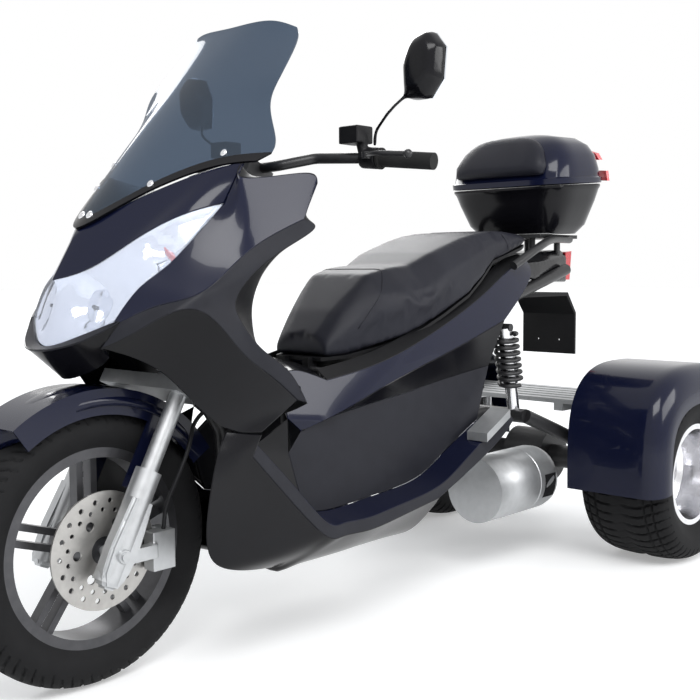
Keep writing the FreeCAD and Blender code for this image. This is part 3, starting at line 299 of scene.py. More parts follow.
def spot(x, y, z):
    share = min(max((y - STRETCH_FROM) / (STRETCH_TO - STRETCH_FROM), 0), 1)
    return Vector((x / 1000, front_axle.y + (y + EXTRA * share) / 1000, z / 1000))


def sharpen(bm, angle):
    for face in bm.faces:
        face.smooth = True
    for edge in bm.edges:
        edge.smooth = len(edge.link_faces) != 2 or edge.calc_face_angle(0) < angle


def bare(name, points, faces):
    mesh = bpy.data.meshes.new(name)
    mesh.from_pydata([tuple(p) for p in points], [], faces)
    made = bpy.data.objects.new(name, mesh)
    scene.collection.objects.link(made)
    return made


def done(made, slot, body, nodes=()):
    wear(made, slot)
    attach(made, body)
    if nodes:
        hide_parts(*nodes)
    return made


def from_bmesh(name, bm, slot, body, nodes=(), angle=0.6):
    sharpen(bm, angle)
    mesh = bpy.data.meshes.new(name)
    bm.to_mesh(mesh)
    bm.free()
    made = bpy.data.objects.new(name, mesh)
    scene.collection.objects.link(made)
    return done(made, slot, body, nodes)


def settled(made):
    """The object's evaluated mesh takes the place of its modifiers."""
    bpy.context.view_layer.update()
    mesh = bpy.data.meshes.new_from_object(made.evaluated_get(bpy.context.evaluated_depsgraph_get()))
    made.modifiers.clear()
    made.data = mesh
    return made


def relaxed_copy(name, node, voxel, factor, rounds):
    """A copy of a CAD node, remeshed evenly and eased by smoothing."""
    made = nodes[node].copy()
    made.data = nodes[node].data.copy()
    made.name = made.data.name = name
    made.parent = None
    for key in list(made.keys()):
        del made[key]
    scene.collection.objects.link(made)
    remesh = made.modifiers.new("even", "REMESH")
    remesh.mode, remesh.voxel_size = "VOXEL", voxel
    ease = made.modifiers.new("ease", "SMOOTH")
    ease.factor, ease.iterations = factor, rounds
    return settled(made)


def bridge(bm, one, two, around=True):
    """Quads between two rows of vertices; around also joins the ends of each row."""
    for i in range(len(one) if around else len(one) - 1):
        j = (i + 1) % len(one)
        bm.faces.new((one[i], one[j], two[j], two[i]))


def wheel(bm, rings, around=True):
    """Bridge each ring to the next, and the last to the first."""
    for one, two in zip(rings, rings[1:] + rings[:1]):
        bridge(bm, one, two, around)


def face_outwards(bm, heart):
    """Turn every face away from a point inside."""
    bmesh.ops.recalc_face_normals(bm, faces=bm.faces)
    if sum(f.normal.dot(f.calc_center_median() - heart) * f.calc_area() for f in bm.faces) < 0:
        bmesh.ops.reverse_faces(bm, faces=bm.faces)


def corners(text):
    """{name: (x, y, z)} of entries such as 'chin 0 -33 574', parted by commas."""
    rows = [entry.split() for entry in text.split(",")]
    return {row[0]: tuple(float(value) for value in row[1:]) for row in rows}


def patches(text):
    """Patches of corner names, parted by commas."""
    return [tuple(entry.split()) for entry in text.split(",")]


# %% [markdown]
# ## Moulded panels
# Real body panels are injection moulded and flow into each other. A net of named corners holds the whole
# front body; Catmull-Clark subdivision rounds it, and the seams between panels stay crisp because their edges
# are creased. Subdivision shrinks a net, so the corners are pushed out until the rounded surface passes
# through the drawn places. Each panel then gets a fine sunk rim, which reads as a seam, and its thickness.

# %% Rounded net
SEAM, SKIN = 0.0016, 0.003
LEVELS, PULLS, PULL = 3, 6, 0.9


def net_mesh(name, places, groups, creases):
    index, points, faces, owners = {}, [], [], []
    for side in (1, -1):
        for label, corner in places.items():
            key = (label, 0 if corner[0] == 0 else side)
            if key not in index:
                index[key] = len(points)
                points.append(spot(corner[0] * side, corner[1], corner[2]))
    for number, (label, group) in enumerate(groups.items()):
        for side in (1, -1):
            for names in group:
                loop = [index[(n, 0 if places[n][0] == 0 else side)] for n in names]
                faces.append(loop if side == 1 else loop[::-1])
                owners.append(number)
    made = bare(name, points, faces)
    made.data.polygons.foreach_set("material_index", owners)
    owner_of = {}
    for loop, owner in zip(faces, owners):
        for a, b in zip(loop, loop[1:] + loop[:1]):
            owner_of.setdefault(frozenset((a, b)), set()).add(owner)
    hard = {frozenset(index.get((label, side), index.get((label, 0))) for label in ends): value
            for ends, value in creases.items() for side in (1, -1)}
    sharp = made.data.attributes.new("crease_edge", "FLOAT", "EDGE")
    for edge in made.data.edges:
        key = frozenset(edge.vertices)
        seam = 1.0 if len(owner_of.get(key, ())) > 1 else 0.0
        sharp.data[edge.index].value = hard.get(key, seam)
    return made


def rounded_net(name, places, groups, creases, inside):
    """{panel name: bmesh} of a net of corners, rounded but still passing through every corner."""
    made = net_mesh(name, places, groups, creases)
    work = bmesh.new()
    work.from_mesh(made.data)
    face_outwards(work, spot(*inside))
    work.to_mesh(made.data)
    work.free()
    targets = [v.co.copy() for v in made.data.vertices]
    rounding = made.modifiers.new("rounding", "SUBSURF")
    rounding.levels = rounding.render_levels = LEVELS
    rounding.boundary_smooth = "PRESERVE_CORNERS"
    for _ in range(PULLS):
        bpy.context.view_layer.update()
        shown = made.evaluated_get(bpy.context.evaluated_depsgraph_get()).data
        for vertex, target in zip(made.data.vertices, targets):
            vertex.co += (target - shown.vertices[vertex.index].co) * PULL
        made.data.update()
    settled(made)
    panels = {}
    for number, label in enumerate(groups):
        bm = bmesh.new()
        bm.from_mesh(made.data)
        bmesh.ops.delete(bm, geom=[f for f in bm.faces if f.material_index != number], context="FACES")
        panels[label] = bm
    bpy.data.objects.remove(made)
    return panels


def seamed(bm, thickness=SKIN):
    """Sink a narrow rim round the panel, then give it its thickness inwards."""
    bmesh.ops.inset_region(bm, faces=bm.faces, thickness=SEAM, use_boundary=True, use_even_offset=True)
    bm.normal_update()
    rim = [(v, v.normal.copy()) for v in bm.verts if v.is_boundary]
    for vertex, normal in rim:
        vertex.co -= normal * SEAM * 0.8
    return thicken(bm, thickness)


def thicken(bm, thickness):
    bm.normal_update()
    for face in bm.faces:
        face.material_index = 0
    outer = list(bm.verts)
    twin = {v: bm.verts.new(v.co - v.normal * thickness) for v in outer}
    loops = [e.link_loops[0] for e in bm.edges if e.is_boundary]
    rims = [(loop.vert, loop.link_loop_next.vert) for loop in loops]
    for face in list(bm.faces):
        bm.faces.new([twin[v] for v in reversed(face.verts)])
    for a, b in rims:
        bm.faces.new((b, a, twin[a], twin[b]))
    return bm


# %% Front body
FRONT = corners(
    "chin 0 -33 574, beak 0 -96 632, lens_foot 0 -72 638, lens_top 0 -54 755, screen_foot 0 0 846, "
    "lens_low 70 -50 657, lens_corner 130 -16 683, lens_side 152 24 742, lens_back 173 82 790, "
    "lens_tip 200 180 893, brow_1 55 -8 778, brow_2 105 52 828, brow_3 160 112 870, foot_1 75 80 902, "
    "foot_2 160 178 955, foot_3 215 212 966, cowl_front 145 -12 683, cowl_1 190 40 712, "
    "cowl_2 240 100 737, cowl_3 250 197 807, cowl_4 261 325 866, cowl_5 262 338 893, wing_tip 262 361 935, "
    "wing_top 255 352 954, wing_2 240 283 947, wing_1 224 202 940, lip 80 -66 644, chin_side 80 0 606, "
    "fair_front 122 -38 637, fair_top 180 4 670, fair_peak 237 82 704, fair_1 245 174 628, "
    "fair_2 248 245 577, fair_back 252 313 524, fair_foot 235 235 470, arch_4 200 175 481, "
    "arch_3 168 122 535, arch_2 152 67 590, arch_1 138 5 622, edge_1 262 352 848, edge_2 256 275 808, "
    "edge_3 250 203 762, edge_4 243 168 715, edge_5 247 182 673, edge_6 252 225 625, edge_7 254 290 580, "
    "edge_8 256 335 516, shield_t 200 385 925, shield_1 120 405 885, shield_2 120 350 770, "
    "shield_3 120 318 685, shield_4 120 335 592, shield_5 135 365 480, mid_t 0 446 905, mid_1 0 440 885, "
    "mid_2 0 390 775, mid_3 0 356 690, mid_4 0 372 604, mid_5 0 385 480, dash_1 160 290 938, "
    "dash_0 0 250 925")
FRONT_PANELS = {
    "lens": patches("lens_foot lens_low brow_1 lens_top, lens_low lens_corner lens_side brow_1, "
                    "brow_1 lens_side lens_back brow_2, brow_2 lens_back brow_3, lens_back lens_tip brow_3"),
    "visor": patches("lens_top brow_1 foot_1 screen_foot, brow_1 brow_2 foot_2 foot_1, "
                     "brow_2 brow_3 foot_2, brow_3 lens_tip foot_3 foot_2"),
    "cowl": patches("lens_corner cowl_front cowl_1 lens_side, lens_side cowl_1 cowl_2 lens_back, "
                    "lens_back cowl_2 cowl_3 lens_tip, lens_tip cowl_3 wing_1 foot_3, "
                    "cowl_3 cowl_4 wing_2 wing_1, cowl_4 cowl_5 wing_top wing_2, cowl_5 wing_tip wing_top"),
    "chin": patches("chin chin_side lip beak, chin_side fair_front cowl_front lip"),
    "trim": patches("beak lip lens_low lens_foot, lip cowl_front lens_corner lens_low, "
                    "cowl_front cowl_1 fair_top fair_front, cowl_1 cowl_2 fair_peak fair_top, "
                    "cowl_4 cowl_3 edge_2 edge_1, cowl_3 cowl_2 edge_3 edge_2, "
                    "cowl_2 fair_peak edge_4 edge_3, fair_peak fair_1 edge_5 edge_4, "
                    "fair_1 fair_2 edge_6 edge_5, fair_2 fair_back edge_7 edge_6, fair_back edge_8 edge_7"),
    "fairing": patches("fair_front fair_top arch_1, fair_top fair_peak arch_2 arch_1, "
                       "fair_peak fair_1 arch_3 arch_2, fair_1 fair_2 arch_4 arch_3, "
                       "fair_2 fair_back fair_foot arch_4"),
    "shield": patches("wing_tip cowl_5 shield_1 shield_t, cowl_5 cowl_4 edge_1 shield_1, "
                      "edge_1 edge_2 shield_2 shield_1, edge_2 edge_3 shield_2, "
                      "edge_3 edge_4 shield_3 shield_2, edge_4 edge_5 shield_3, "
                      "edge_5 edge_6 shield_4 shield_3, edge_6 edge_7 shield_4, "
                      "edge_7 edge_8 shield_5 shield_4, shield_t shield_1 mid_1 mid_t, "
                      "shield_1 shield_2 mid_2 mid_1, shield_2 shield_3 mid_3 mid_2, "
                      "shield_3 shield_4 mid_4 mid_3, shield_4 shield_5 mid_5 mid_4"),
    "dash": patches("foot_3 wing_1 wing_2 dash_1, wing_2 wing_top shield_t dash_1, "
                    "wing_top wing_tip shield_t, foot_2 foot_3 dash_1, foot_1 foot_2 dash_1 dash_0, "
                    "screen_foot foot_1 dash_0, dash_0 dash_1 shield_t mid_t"),
}
front = rounded_net("front_net", FRONT, FRONT_PANELS, {("lens_top", "screen_foot"): 0.6}, (0, 180, 760))


def panel(name, bm, slot, *taken):
    return from_bmesh(name, seamed(bm), slot, "chassis", taken)


lens_surface = front["lens"].copy()
from_bmesh("headlamp_glass", seamed(front["lens"], 0.0025), "clear_lens", "chassis", ["headlamp_lens"])
panel("visor_panel", front["visor"], "paint", "visor")
panel("cowl_panel", front["cowl"], "paint", "front_cowl")
panel("chin_panel", front["chin"], "gloss_black")
panel("front_trim", front["trim"], "charcoal")
panel("fairing_panels", front["fairing"], "gloss_black", "side_fairings")
panel("inner_shield", front["shield"], "black_plastic", "leg_shield")
panel("dash_panel", front["dash"], "black_plastic", "instrument_panel")
print("front panels", len(front))

# %% [markdown]
# ## Lower body
# Belly, floor, side covers and tail panels share a second net. The matte sill is a band of its own between
# the belly and the glossy floor, the side cover is a grained panel under the painted tail, and black skirts
# close the gap under the seat.

# %% Lower body
LOWER = corners(
    "top_in 200 178 474, top_out 234 236 464, wing_1 206 150 430, wing_2 206 128 340, wing_3 202 135 245, "
    "wing_4 196 215 203, keel_1 165 327 182, keel_2 150 381 166, keel_3 150 567 167, keel_4 150 740 166, "
    "low_1 0 330 184, low_2 0 381 168, low_3 0 567 168, low_4 0 740 167, sill_1 226 220 424, "
    "sill_2 238 300 335, sill_3 248 391 246, sill_4 250 446 236, sill_5 250 520 233, sill_6 250 617 243, "
    "sill_7 250 756 262, sill_8 250 869 307, sill_9 245 996 361, sill_10 240 1062 402, rim_1 224 232 446, "
    "rim_2 234 316 358, rim_3 242 402 270, rim_4 243 450 260, rim_5 243 520 257, rim_6 243 617 266, "
    "rim_7 243 756 285, rim_8 243 860 331, rim_9 238 985 392, rim_10 232 1045 430, floor_1 165 262 425, "
    "floor_2 160 345 345, floor_3 160 418 278, floor_4 160 470 268, floor_5 160 540 268, "
    "floor_6 160 640 275, floor_7 160 780 290, floor_8 166 880 340, floor_9 176 1000 405, "
    "cover_0 158 378 402, cover_2 150 422 440, cover_3 150 512 462, cover_4 155 735 488, "
    "cover_5 160 865 507, cover_6 165 1062 530, cover_7 168 1040 486, crease_1 165 475 458, "
    "crease_2 168 553 480, crease_3 170 717 530, crease_4 168 906 577, crease_5 160 1139 640, "
    "crease_6 135 1290 740, rail_1 150 499 540, rail_2 165 651 566, rail_3 165 827 618, "
    "rail_4 150 1044 698, rail_5 135 1196 768, rail_6 118 1300 790, skirt_1 118 499 562, "
    "skirt_2 133 651 588, skirt_3 133 827 640, skirt_4 118 1044 720, skirt_5 103 1196 788, "
    "skirt_6 90 1300 808, front_top 128 402 562, front_low 150 384 470, ridge_0 0 373 602.5, "
    "ridge_1 0 490 577, ridge_2 0 528 567, side_top 119.5 336.5 590.5")
LOWER_PANELS = {
    "belly": patches("top_in wing_1 sill_1 top_out, wing_1 wing_2 sill_2 sill_1, "
                     "wing_2 wing_3 sill_3 sill_2, wing_3 wing_4 sill_3, wing_4 keel_1 sill_3, "
                     "keel_1 keel_2 sill_4 sill_3, keel_2 keel_3 sill_5 sill_4, keel_3 sill_6 sill_5, "
                     "keel_3 keel_4 sill_7 sill_6, keel_1 keel_2 low_2 low_1, keel_2 keel_3 low_3 low_2, "
                     "keel_3 keel_4 low_4 low_3"),
    "sill": [(f"sill_{i}", f"sill_{i + 1}", f"rim_{i + 1}", f"rim_{i}") for i in range(1, 10)],
    "floor": [(f"rim_{i}", f"rim_{i + 1}", f"floor_{i + 1}", f"floor_{i}") for i in range(1, 9)]
    + [("rim_9", "rim_10", "floor_9")],
    "cover": patches("cover_0 floor_3 cover_2, floor_3 floor_4 cover_3 cover_2, floor_4 floor_5 cover_3, "
                     "floor_5 floor_6 cover_4 cover_3, floor_6 floor_7 cover_5 cover_4, "
                     "floor_7 floor_8 cover_6 cover_5, floor_8 floor_9 cover_7 cover_6"),
    "tail": patches("front_top front_low crease_1 rail_1, front_low cover_2 crease_1, "
                    "rail_1 crease_1 crease_2 rail_2, rail_2 crease_2 crease_3 rail_3, "
                    "rail_3 crease_3 crease_4, rail_3 crease_4 crease_5 rail_4, "
                    "rail_4 crease_5 crease_6 rail_5, rail_5 crease_6 rail_6"),
    # Painted shade: the fold under the crease is the same navy paint as the tail above, turned to face down,
    # and takes gloss black for its shade.
    "under": patches("crease_1 cover_2 cover_3 crease_2, crease_2 cover_3 cover_4 crease_3, "
                     "crease_3 cover_4 cover_5 crease_4, crease_4 cover_5 cover_6 crease_5"),
    "skirt": [(f"rail_{i}", f"rail_{i + 1}", f"skirt_{i + 1}", f"skirt_{i}") for i in range(1, 6)],
    "inner": patches("floor_1 floor_2 cover_0, floor_2 floor_3 cover_0, floor_1 cover_0 front_low"),
    "tunnel": patches("ridge_0 side_top front_top, ridge_0 front_top ridge_1, ridge_1 front_top rail_1, "
                      "ridge_1 rail_1 ridge_2, side_top front_low front_top"),
}
LOWER_CREASES = {("wing_1", "wing_2"): 0.3, ("front_low", "crease_1"): 0.7, ("keel_1", "keel_2"): 0.5}
lower = rounded_net("lower_net", LOWER, LOWER_PANELS, LOWER_CREASES, (0, 640, 400))
panel("belly_panel", lower["belly"], "gloss_black", "belly_pan")
panel("sill_trim", lower["sill"], "charcoal")
panel("floor_panels", lower["floor"], "paint", "floorboards")
panel("side_cover_panels", lower["cover"], "charcoal", "side_covers")
panel("tail_panels_paint", lower["tail"], "paint", "tail_panels")
# Painted shade: the tail's underfold wears gloss black instead of the navy paint it shares with the tail
# panel.
panel("tail_fold_painted_shade", lower["under"], "gloss_black")
panel("inner_walls", lower["inner"], "gloss_black")
panel("seat_skirts", lower["skirt"], "black_plastic")
panel("tunnel_panel", lower["tunnel"], "gloss_black", "tunnel")
print("lower panels", len(lower))

# %% [markdown]
# ## Windscreen
# One tinted sheet, curved both ways, with a flared waist and a black painted band at its foot. The band is a
# strip of the same net, so both follow one curve. Six bright screws, added further on, hold the foot.

# %% Windscreen
SCREEN = corners(
    "a0 0 -3.4 849.4, a1 76.5 75.8 905.6, a2 162.5 173.6 958.4, a3 235 226 970, b0 0 16 870, b1 77 94 924, "
    "b2 163 190 975, b3 250 252 986, c0 0 100 958, c1 75 135 975, c2 156 216 1010, c3 240 272 1018, "
    "d0 0 195 1064, d1 70 215 1070, d2 140 262 1078, d3 200 297 1081, e0 0 262 1138, e1 70 276 1140, "
    "e2 140 304 1140, e3 200 324 1140, f0 0 340 1226, f1 66 348 1228, f2 132 366 1222, f3 188 380 1212, "
    "g0 0 372 1264, g1 60 376 1266, g2 118 388 1264, g3 168 402 1246")


def strip(low, high):
    return [(low + str(i), low + str(i + 1), high + str(i + 1), high + str(i)) for i in range(3)]


SCREEN_PANELS = {"band": strip("a", "b"), "glass": [f for low, high in ("bc", "cd", "de", "ef", "fg")
                                                    for f in strip(low, high)]}
screen_net = rounded_net("screen_net", SCREEN, SCREEN_PANELS, {}, (0, 500, 900))
from_bmesh("windscreen_sheet", thicken(screen_net["glass"], 0.0035), "screen", "chassis", ["windscreen"])
from_bmesh("windscreen_band", thicken(screen_net["band"], 0.0045), "gloss_black", "chassis")


# %% [markdown]
# ## Pieces of revolution and tubes
# Axle ends and lamps are turned shapes or tubes along a line; flat cast pieces and reflectors are slabs.

# %% Turned pieces and tubes
def turned(bm, profile, centre, steps):
    """Add a closed profile of (across, radius) turned about an axle through a centre."""
    rings = []
    for step in range(steps):
        angle = 2 * math.pi * step / steps
        c, s = math.cos(angle), math.sin(angle)
        rings.append([bm.verts.new(centre + Vector((a, r * c, r * s))) for a, r in profile])
    wheel(bm, rings)
    return bm


def closed(bm):
    """Weld the poles and turn every face outwards."""
    bmesh.ops.remove_doubles(bm, verts=bm.verts, dist=1e-6)
    bmesh.ops.dissolve_degenerate(bm, dist=1e-6, edges=bm.edges)
    bmesh.ops.recalc_face_normals(bm, faces=bm.faces)
    return bm


def tube(bm, line, radius, sides):
    """Add a round tube, closed at both ends; radius holds one number for each point."""
    side = Vector((0, 0, 1)).cross(line[1] - line[0])
    side = side.normalized() if side.length > 1e-6 else Vector((1, 0, 0))
    rings = []
    for i, point in enumerate(line):
        way = (line[min(i + 1, len(line) - 1)] - line[max(i - 1, 0)]).normalized()
        side = (side - way * side.dot(way)).normalized()
        other = way.cross(side)
        rings.append([bm.verts.new(point + (side * math.cos(a) + other * math.sin(a)) * radius[i])
                      for a in (2 * math.pi * k / sides for k in range(sides))])
    for one, two in zip(rings, rings[1:]):
        bridge(bm, one, two)
    bm.faces.new(rings[0][::-1])
    bm.faces.new(rings[-1])
    return bm


def slab(bm, outline, depth):
    """Add a flat piece: an outline of points pushed along a depth vector."""
    low = [bm.verts.new(p) for p in outline]
    high = [bm.verts.new(p + depth) for p in outline]
    bm.faces.new(low[::-1])
    bm.faces.new(high)
    bridge(bm, low, high)
    return bm


# %% [markdown]
# ## Tyres
# A tyre's tread is cut rubber. The tyre is a fine grid round the axle; a rule says how deep each point lies,
# so the grooves are real dents. The front tyre has long slanted cuts, the rear ones small staggered blocks.

# %% Tyres
WALL_TURN = math.radians(118)


def tyre(name, node, body, crown, half, bead, seat, depth, rule, steps, across):
    """A tyre with a superellipse section: broad tread, round shoulders, straight lower walls."""
    low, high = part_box(node)
    centre = (low + high) / 2
    radius = (high.z - low.z) / 2
    height = (radius - bead) * 0.55
    bm = bmesh.new()
    rings = []
    for step in range(steps):
        turn = 2 * math.pi * step / steps
        section = []
        for k in range(across + 1):
            angle = (-1 + 2 * k / across) * WALL_TURN
            c, s = math.cos(angle), math.sin(angle)
            if c > 0:
                x = half * math.copysign(abs(s) ** (2 / crown), s)
                r = radius - height + height * math.copysign(abs(c) ** (2 / crown), c)
            else:
                fall = -c / -math.cos(WALL_TURN)
                x = math.copysign(half + (seat - half) * fall ** 1.6, s)
                r = radius - height - (radius - height - bead) * fall
            section.append((x, r - rule(turn, x / half, (radius - r) / (radius - bead)) * depth))
        section += [(seat - 0.012, bead + 0.004), (-seat + 0.012, bead + 0.004)]
        rings.append([bm.verts.new(centre + Vector((x, r * math.sin(turn), r * math.cos(turn))))
                      for x, r in section])
    wheel(bm, rings)
    return from_bmesh(name, closed(bm), "tyre", body, [node], angle=0.9)


def street_tread(turn, x, fall):
    """Slanted cuts from the middle towards each shoulder, and a thin middle line."""
    if fall > 0.42:
        return 0
    wave = (turn / (2 * math.pi) * 36 + (0.5 if x < 0 else 0) - 1.1 * abs(x)) % 1
    cut = 1.0 if wave < 0.16 and 0.16 < abs(x) < 0.93 else 0.0
    short = 1.0 if 0.5 < wave < 0.6 and 0.55 < abs(x) < 0.97 else 0.0
    return max(cut, short, 1.0 if abs(x) < 0.035 else 0.0)


def block_tread(turn, x, fall):
    """Rows of small blocks between ribs, and longer bars that run over the shoulders."""
    if fall > 0.36:
        return 0
    row = abs(x) * 5.5
    bent = 0.35 * math.sin(abs(x) * 5.0)
    wave = (turn / (2 * math.pi) * 52 + bent) % 1
    rib = 1.0 if row % 1 < 0.16 and row < 4.6 else 0.0
    cross = 1.0 if wave < 0.2 and (row > 0.9 or x > 0) else 0.0
    return max(rib, cross)


def half_size(node, axis):
    low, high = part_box(node)
    return (high[axis] - low[axis]) / 2


REAR_HALF, FRONT_HALF = half_size("rear_tyre_left", 0), half_size("front_tyre", 0)
REAR_RIM, FRONT_RIM = half_size("rear_rim_left", 2), half_size("front_rim", 2)
for name in ("left", "right"):
    tyre("rear_tread_" + name, "rear_tyre_" + name, "rear_wheel_" + name, 3.4, REAR_HALF, REAR_RIM - 0.008,
         REAR_HALF - 0.022, 0.006, block_tread, 520, 96)
tyre("front_tread", "front_tyre", "front_wheel", 2.3, FRONT_HALF, FRONT_RIM - 0.006, FRONT_HALF - 0.014,
     0.0045, street_tread, 620, 56)
print("tyres", REAR_HALF, FRONT_HALF, REAR_RIM, FRONT_RIM)

# %% [markdown]
# ## Soft saddle
# The seat is foam under vinyl. The drawn solid is remeshed evenly, then inflated a little as cloth held by
# its own stiffness, which rounds the edges and swells the faces as a real cover does. One subdivision
# finishes it. The seams are thin sewn ridges laid on afterwards.

# %% Saddle
CLOTH_FRAMES = 20


def soft_copy(name, node, voxel, pressure, travel):
    """A copy of a CAD soft solid, puffed up by a cloth simulation."""
    made = relaxed_copy(name, node, voxel, 0.6, 14)
    rest = [v.co.copy() for v in made.data.vertices]
    cloth = made.modifiers.new("cover", "CLOTH")
    cloth.settings.use_pressure = True
    cloth.settings.uniform_pressure_force = pressure
    cloth.settings.quality = 5
    cloth.settings.tension_stiffness = cloth.settings.compression_stiffness = 40
    cloth.settings.bending_stiffness = 4
    cloth.settings.effector_weights.gravity = 0
    scene.frame_start, scene.frame_end = 1, CLOTH_FRAMES
    for number in range(1, CLOTH_FRAMES + 1):
        scene.frame_set(number)
    settled(made)
    for vertex, start in zip(made.data.vertices, rest):
        move = vertex.co - start
        if move.length > travel:
            vertex.co = start + move.normalized() * travel
    scene.frame_set(1)
    smooth = made.modifiers.new("round", "SUBSURF")
    smooth.levels = smooth.render_levels = 1
    settled(made)
    made.data.shade_smooth()
    return made


saddle = soft_copy("saddle_cover", "seat", 0.006, 4.0, 0.008)
done(saddle, "vinyl", "saddle", ["seat"])


def surface_line(made, rays):
    """Where rays from outside meet a piece, lifted just off its skin."""
    line = []
    for point, heading in rays:
        hit, place, normal, _ = made.ray_cast(point + heading * 0.4, -heading)
        if hit:
            line.append(place + normal * 0.0006)
    return line


def seam_ring(y_bottom, z_bottom, y_top, z_top):
    """Rays round the saddle in a leaning plane: up one side, over the top and down the other."""
    low, high = spot(0, y_bottom, z_bottom), spot(0, y_top, z_top)
    rays = []
    for k in range(41):
        turn = math.pi * (k / 40)
        heading = Vector((math.cos(turn), 0, 0)) + (high - low).normalized() * math.sin(turn)
        rays.append((low, heading.normalized()))
    return rays


seams = bmesh.new()
for y_bottom, z_bottom, y_top, z_top in ((640, 640, 735, 760), (1190, 818, 1175, 858)):
    line = surface_line(saddle, seam_ring(y_bottom, z_bottom, y_top, z_top))
    if len(line) > 3:
        tube(seams, line, [0.0009] * len(line), 6)
from_bmesh("saddle_seams", seams, "vinyl", "saddle")
print("saddle", len(saddle.data.vertices))

# %% [markdown]
# ## Top box
# A moulded box has soft corners and a domed lid. Both halves are rings of rounded rectangles, each ring given
# by its height, its reach forwards and back, and its half width.

# %% Top box
CORNER, ROUND = 0.24, 64


def box_ring(y_front, y_back, half, front_z, back_z):
    ring = []
    for k in range(ROUND):
        angle = 2 * math.pi * (k + 0.5) / ROUND
        c, s = math.cos(angle), math.sin(angle)
        x = half * math.copysign(abs(c) ** (2 * CORNER), c)
        share = 0.5 + 0.5 * math.copysign(abs(s) ** (2 * CORNER), s)
        ring.append(spot(x, y_front + (y_back - y_front) * share, front_z + (back_z - front_z) * share))
    return ring


def ring_stack(rows):
    bm = bmesh.new()
    made = [[bm.verts.new(p) for p in box_ring(*row)] for row in rows]
    for one, two in zip(made, made[1:]):
        bridge(bm, one, two)
    bm.faces.new(made[0][::-1])
    bm.faces.new(made[-1])
    return bm


base = ring_stack([
    (1396, 1560, 112, 868, 868), (1388, 1572, 126, 864, 866), (1370, 1590, 150, 888, 892),
    (1350, 1606, 176, 945, 960), (1342, 1612, 186, 972, 992), (1334, 1616, 190, 980, 1000),
    (1334, 1616, 190, 986, 1006), (1340, 1612, 184, 987, 1007)])
from_bmesh("box_tub", closed(base), "gloss_black", "chassis", ["box_base"])
lid = ring_stack([
    (1342, 1610, 186, 989, 1009), (1332, 1618, 193, 990, 1010), (1331, 1618, 195, 1004, 1024),
    (1336, 1614, 188, 1008, 1028), (1340, 1611, 186, 1034, 1048), (1352, 1600, 178, 1066, 1084),
    (1372, 1582, 160, 1098, 1112), (1400, 1556, 130, 1122, 1130), (1436, 1520, 80, 1135, 1136),
    (1460, 1496, 40, 1140, 1139)])
from_bmesh("box_shell", closed(lid), "paint", "luggage_lid", ["box_lid"], angle=0.9)

pad = bmesh.new()
PAD = [(-142, 0.04), (-136, 0.45), (-112, 0.78), (-74, 0.96), (-26, 1.0), (26, 1.0), (74, 0.96), (112, 0.78),
       (136, 0.45), (142, 0.04)]


def pad_point(x, share, lift):
    """A place on the lid's sloping front face: share runs from the rim to the crown."""
    bow = 9 * (1 - (x / 150) ** 2)
    y = 1340 - bow + 56 * share ** 1.7 - lift
    return spot(x, y, 1018 + 104 * share + lift * 0.4)


for lift, scale in ((-3, 1.0), (9, 0.97), (15, 0.86), (17, 0.6)):
    ring = [pad_point(x * scale, 0.5 + (share - 0.5) * scale, lift) for x, share in PAD]
    foot = [pad_point(x * scale, 0.5 + (0.0 - 0.5) * scale, lift) for x in (124, 62, 0, -62, -124)]
    loop = [pad.verts.new(p) for p in ring + foot]
    if lift > -3:
        bridge(pad, last, loop)
    else:
        pad.faces.new(loop[::-1])
    last = loop
pad.faces.new(last)
closed(pad)
bmesh.ops.subdivide_edges(pad, edges=pad.edges, cuts=1, use_grid_fill=True, smooth=0.6)
backrest = from_bmesh("backrest_pad", closed(pad), "vinyl", "luggage_lid", ["box_backrest"], angle=1.4)

REFLECTORS = [
    ([(150, 1597, 1090), (120, 1601, 1100), (118, 1608, 1078), (158, 1603, 1072)], (0.006, 0.008, 0.001)),
    ([(186, 1592, 1040), (150, 1612, 1044), (150, 1615, 1016), (189, 1594, 1012)], (0.004, 0.006, 0))]
reflectors = bmesh.new()
for side in (1, -1):
    for outline, depth in REFLECTORS:
        slab(reflectors, [spot(side * x, y, z) for x, y, z in outline], Vector((side * depth[0], *depth[1:])))
from_bmesh("box_reflectors", closed(reflectors), "red_lens", "luggage_lid")

# %% [markdown]
# ## Rounded metal and plastic parts
# Some drawn solids only lack rounding: mirrors, the tail cover, housings, the drum. `eased` remeshes a copy
# finely and relaxes it, which rounds every edge evenly.

# %% Eased copies
def eased(name, node, slot, body, voxel, rounds):
    made = relaxed_copy(name, node, voxel, 0.5, rounds)
    made.data.shade_smooth()
    return done(made, slot, body, [node])


eased("mirror_shells", "mirrors", "gloss_black", "steering", 0.0028, 70)
eased("tail_shell", "tail_cover", "gloss_black", "chassis", 0.004, 8)
eased("switch_housings", "control_housings", "black_plastic", "steering", 0.0022, 5)
eased("caliper_casting", "front_brake_caliper", "silver_alloy", "steering", 0.002, 4)

# %% Drum
drum_low, drum_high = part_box("transmission_drum")
drum_middle = (drum_low + drum_high) / 2
DRUM = (drum_high.z - drum_low.z) / 2
drum_start = Vector((drum_middle.x, drum_low.y, drum_middle.z))
LENGTH = drum_high.y - drum_low.y
drum = bmesh.new()
DRUM_ROWS = [(0, 0.02), (0, 0.99), (0.25, 0.99), (0.255, 1.0), (0.62, 1.0), (0.625, 0.985), (0.65, 0.985),
             (0.655, 1.0), (0.88, 1.0), (0.95, 0.96), (0.985, 0.87), (1.0, 0.72), (1.0, 0.02)]
rings = []
for k in range(ROUND):
    turn = 2 * math.pi * k / ROUND
    rings.append([drum.verts.new(drum_start + Vector((DRUM * r * math.cos(turn), LENGTH * a,
                                                      DRUM * r * math.sin(turn)))) for a, r in DRUM_ROWS])
wheel(drum, rings, around=False)
for end in (0, -1):
    drum.faces.new([ring[end] for ring in rings])
from_bmesh("drum_casting", closed(drum), "silver_alloy", "chassis", ["transmission_drum"])
label = bmesh.new()
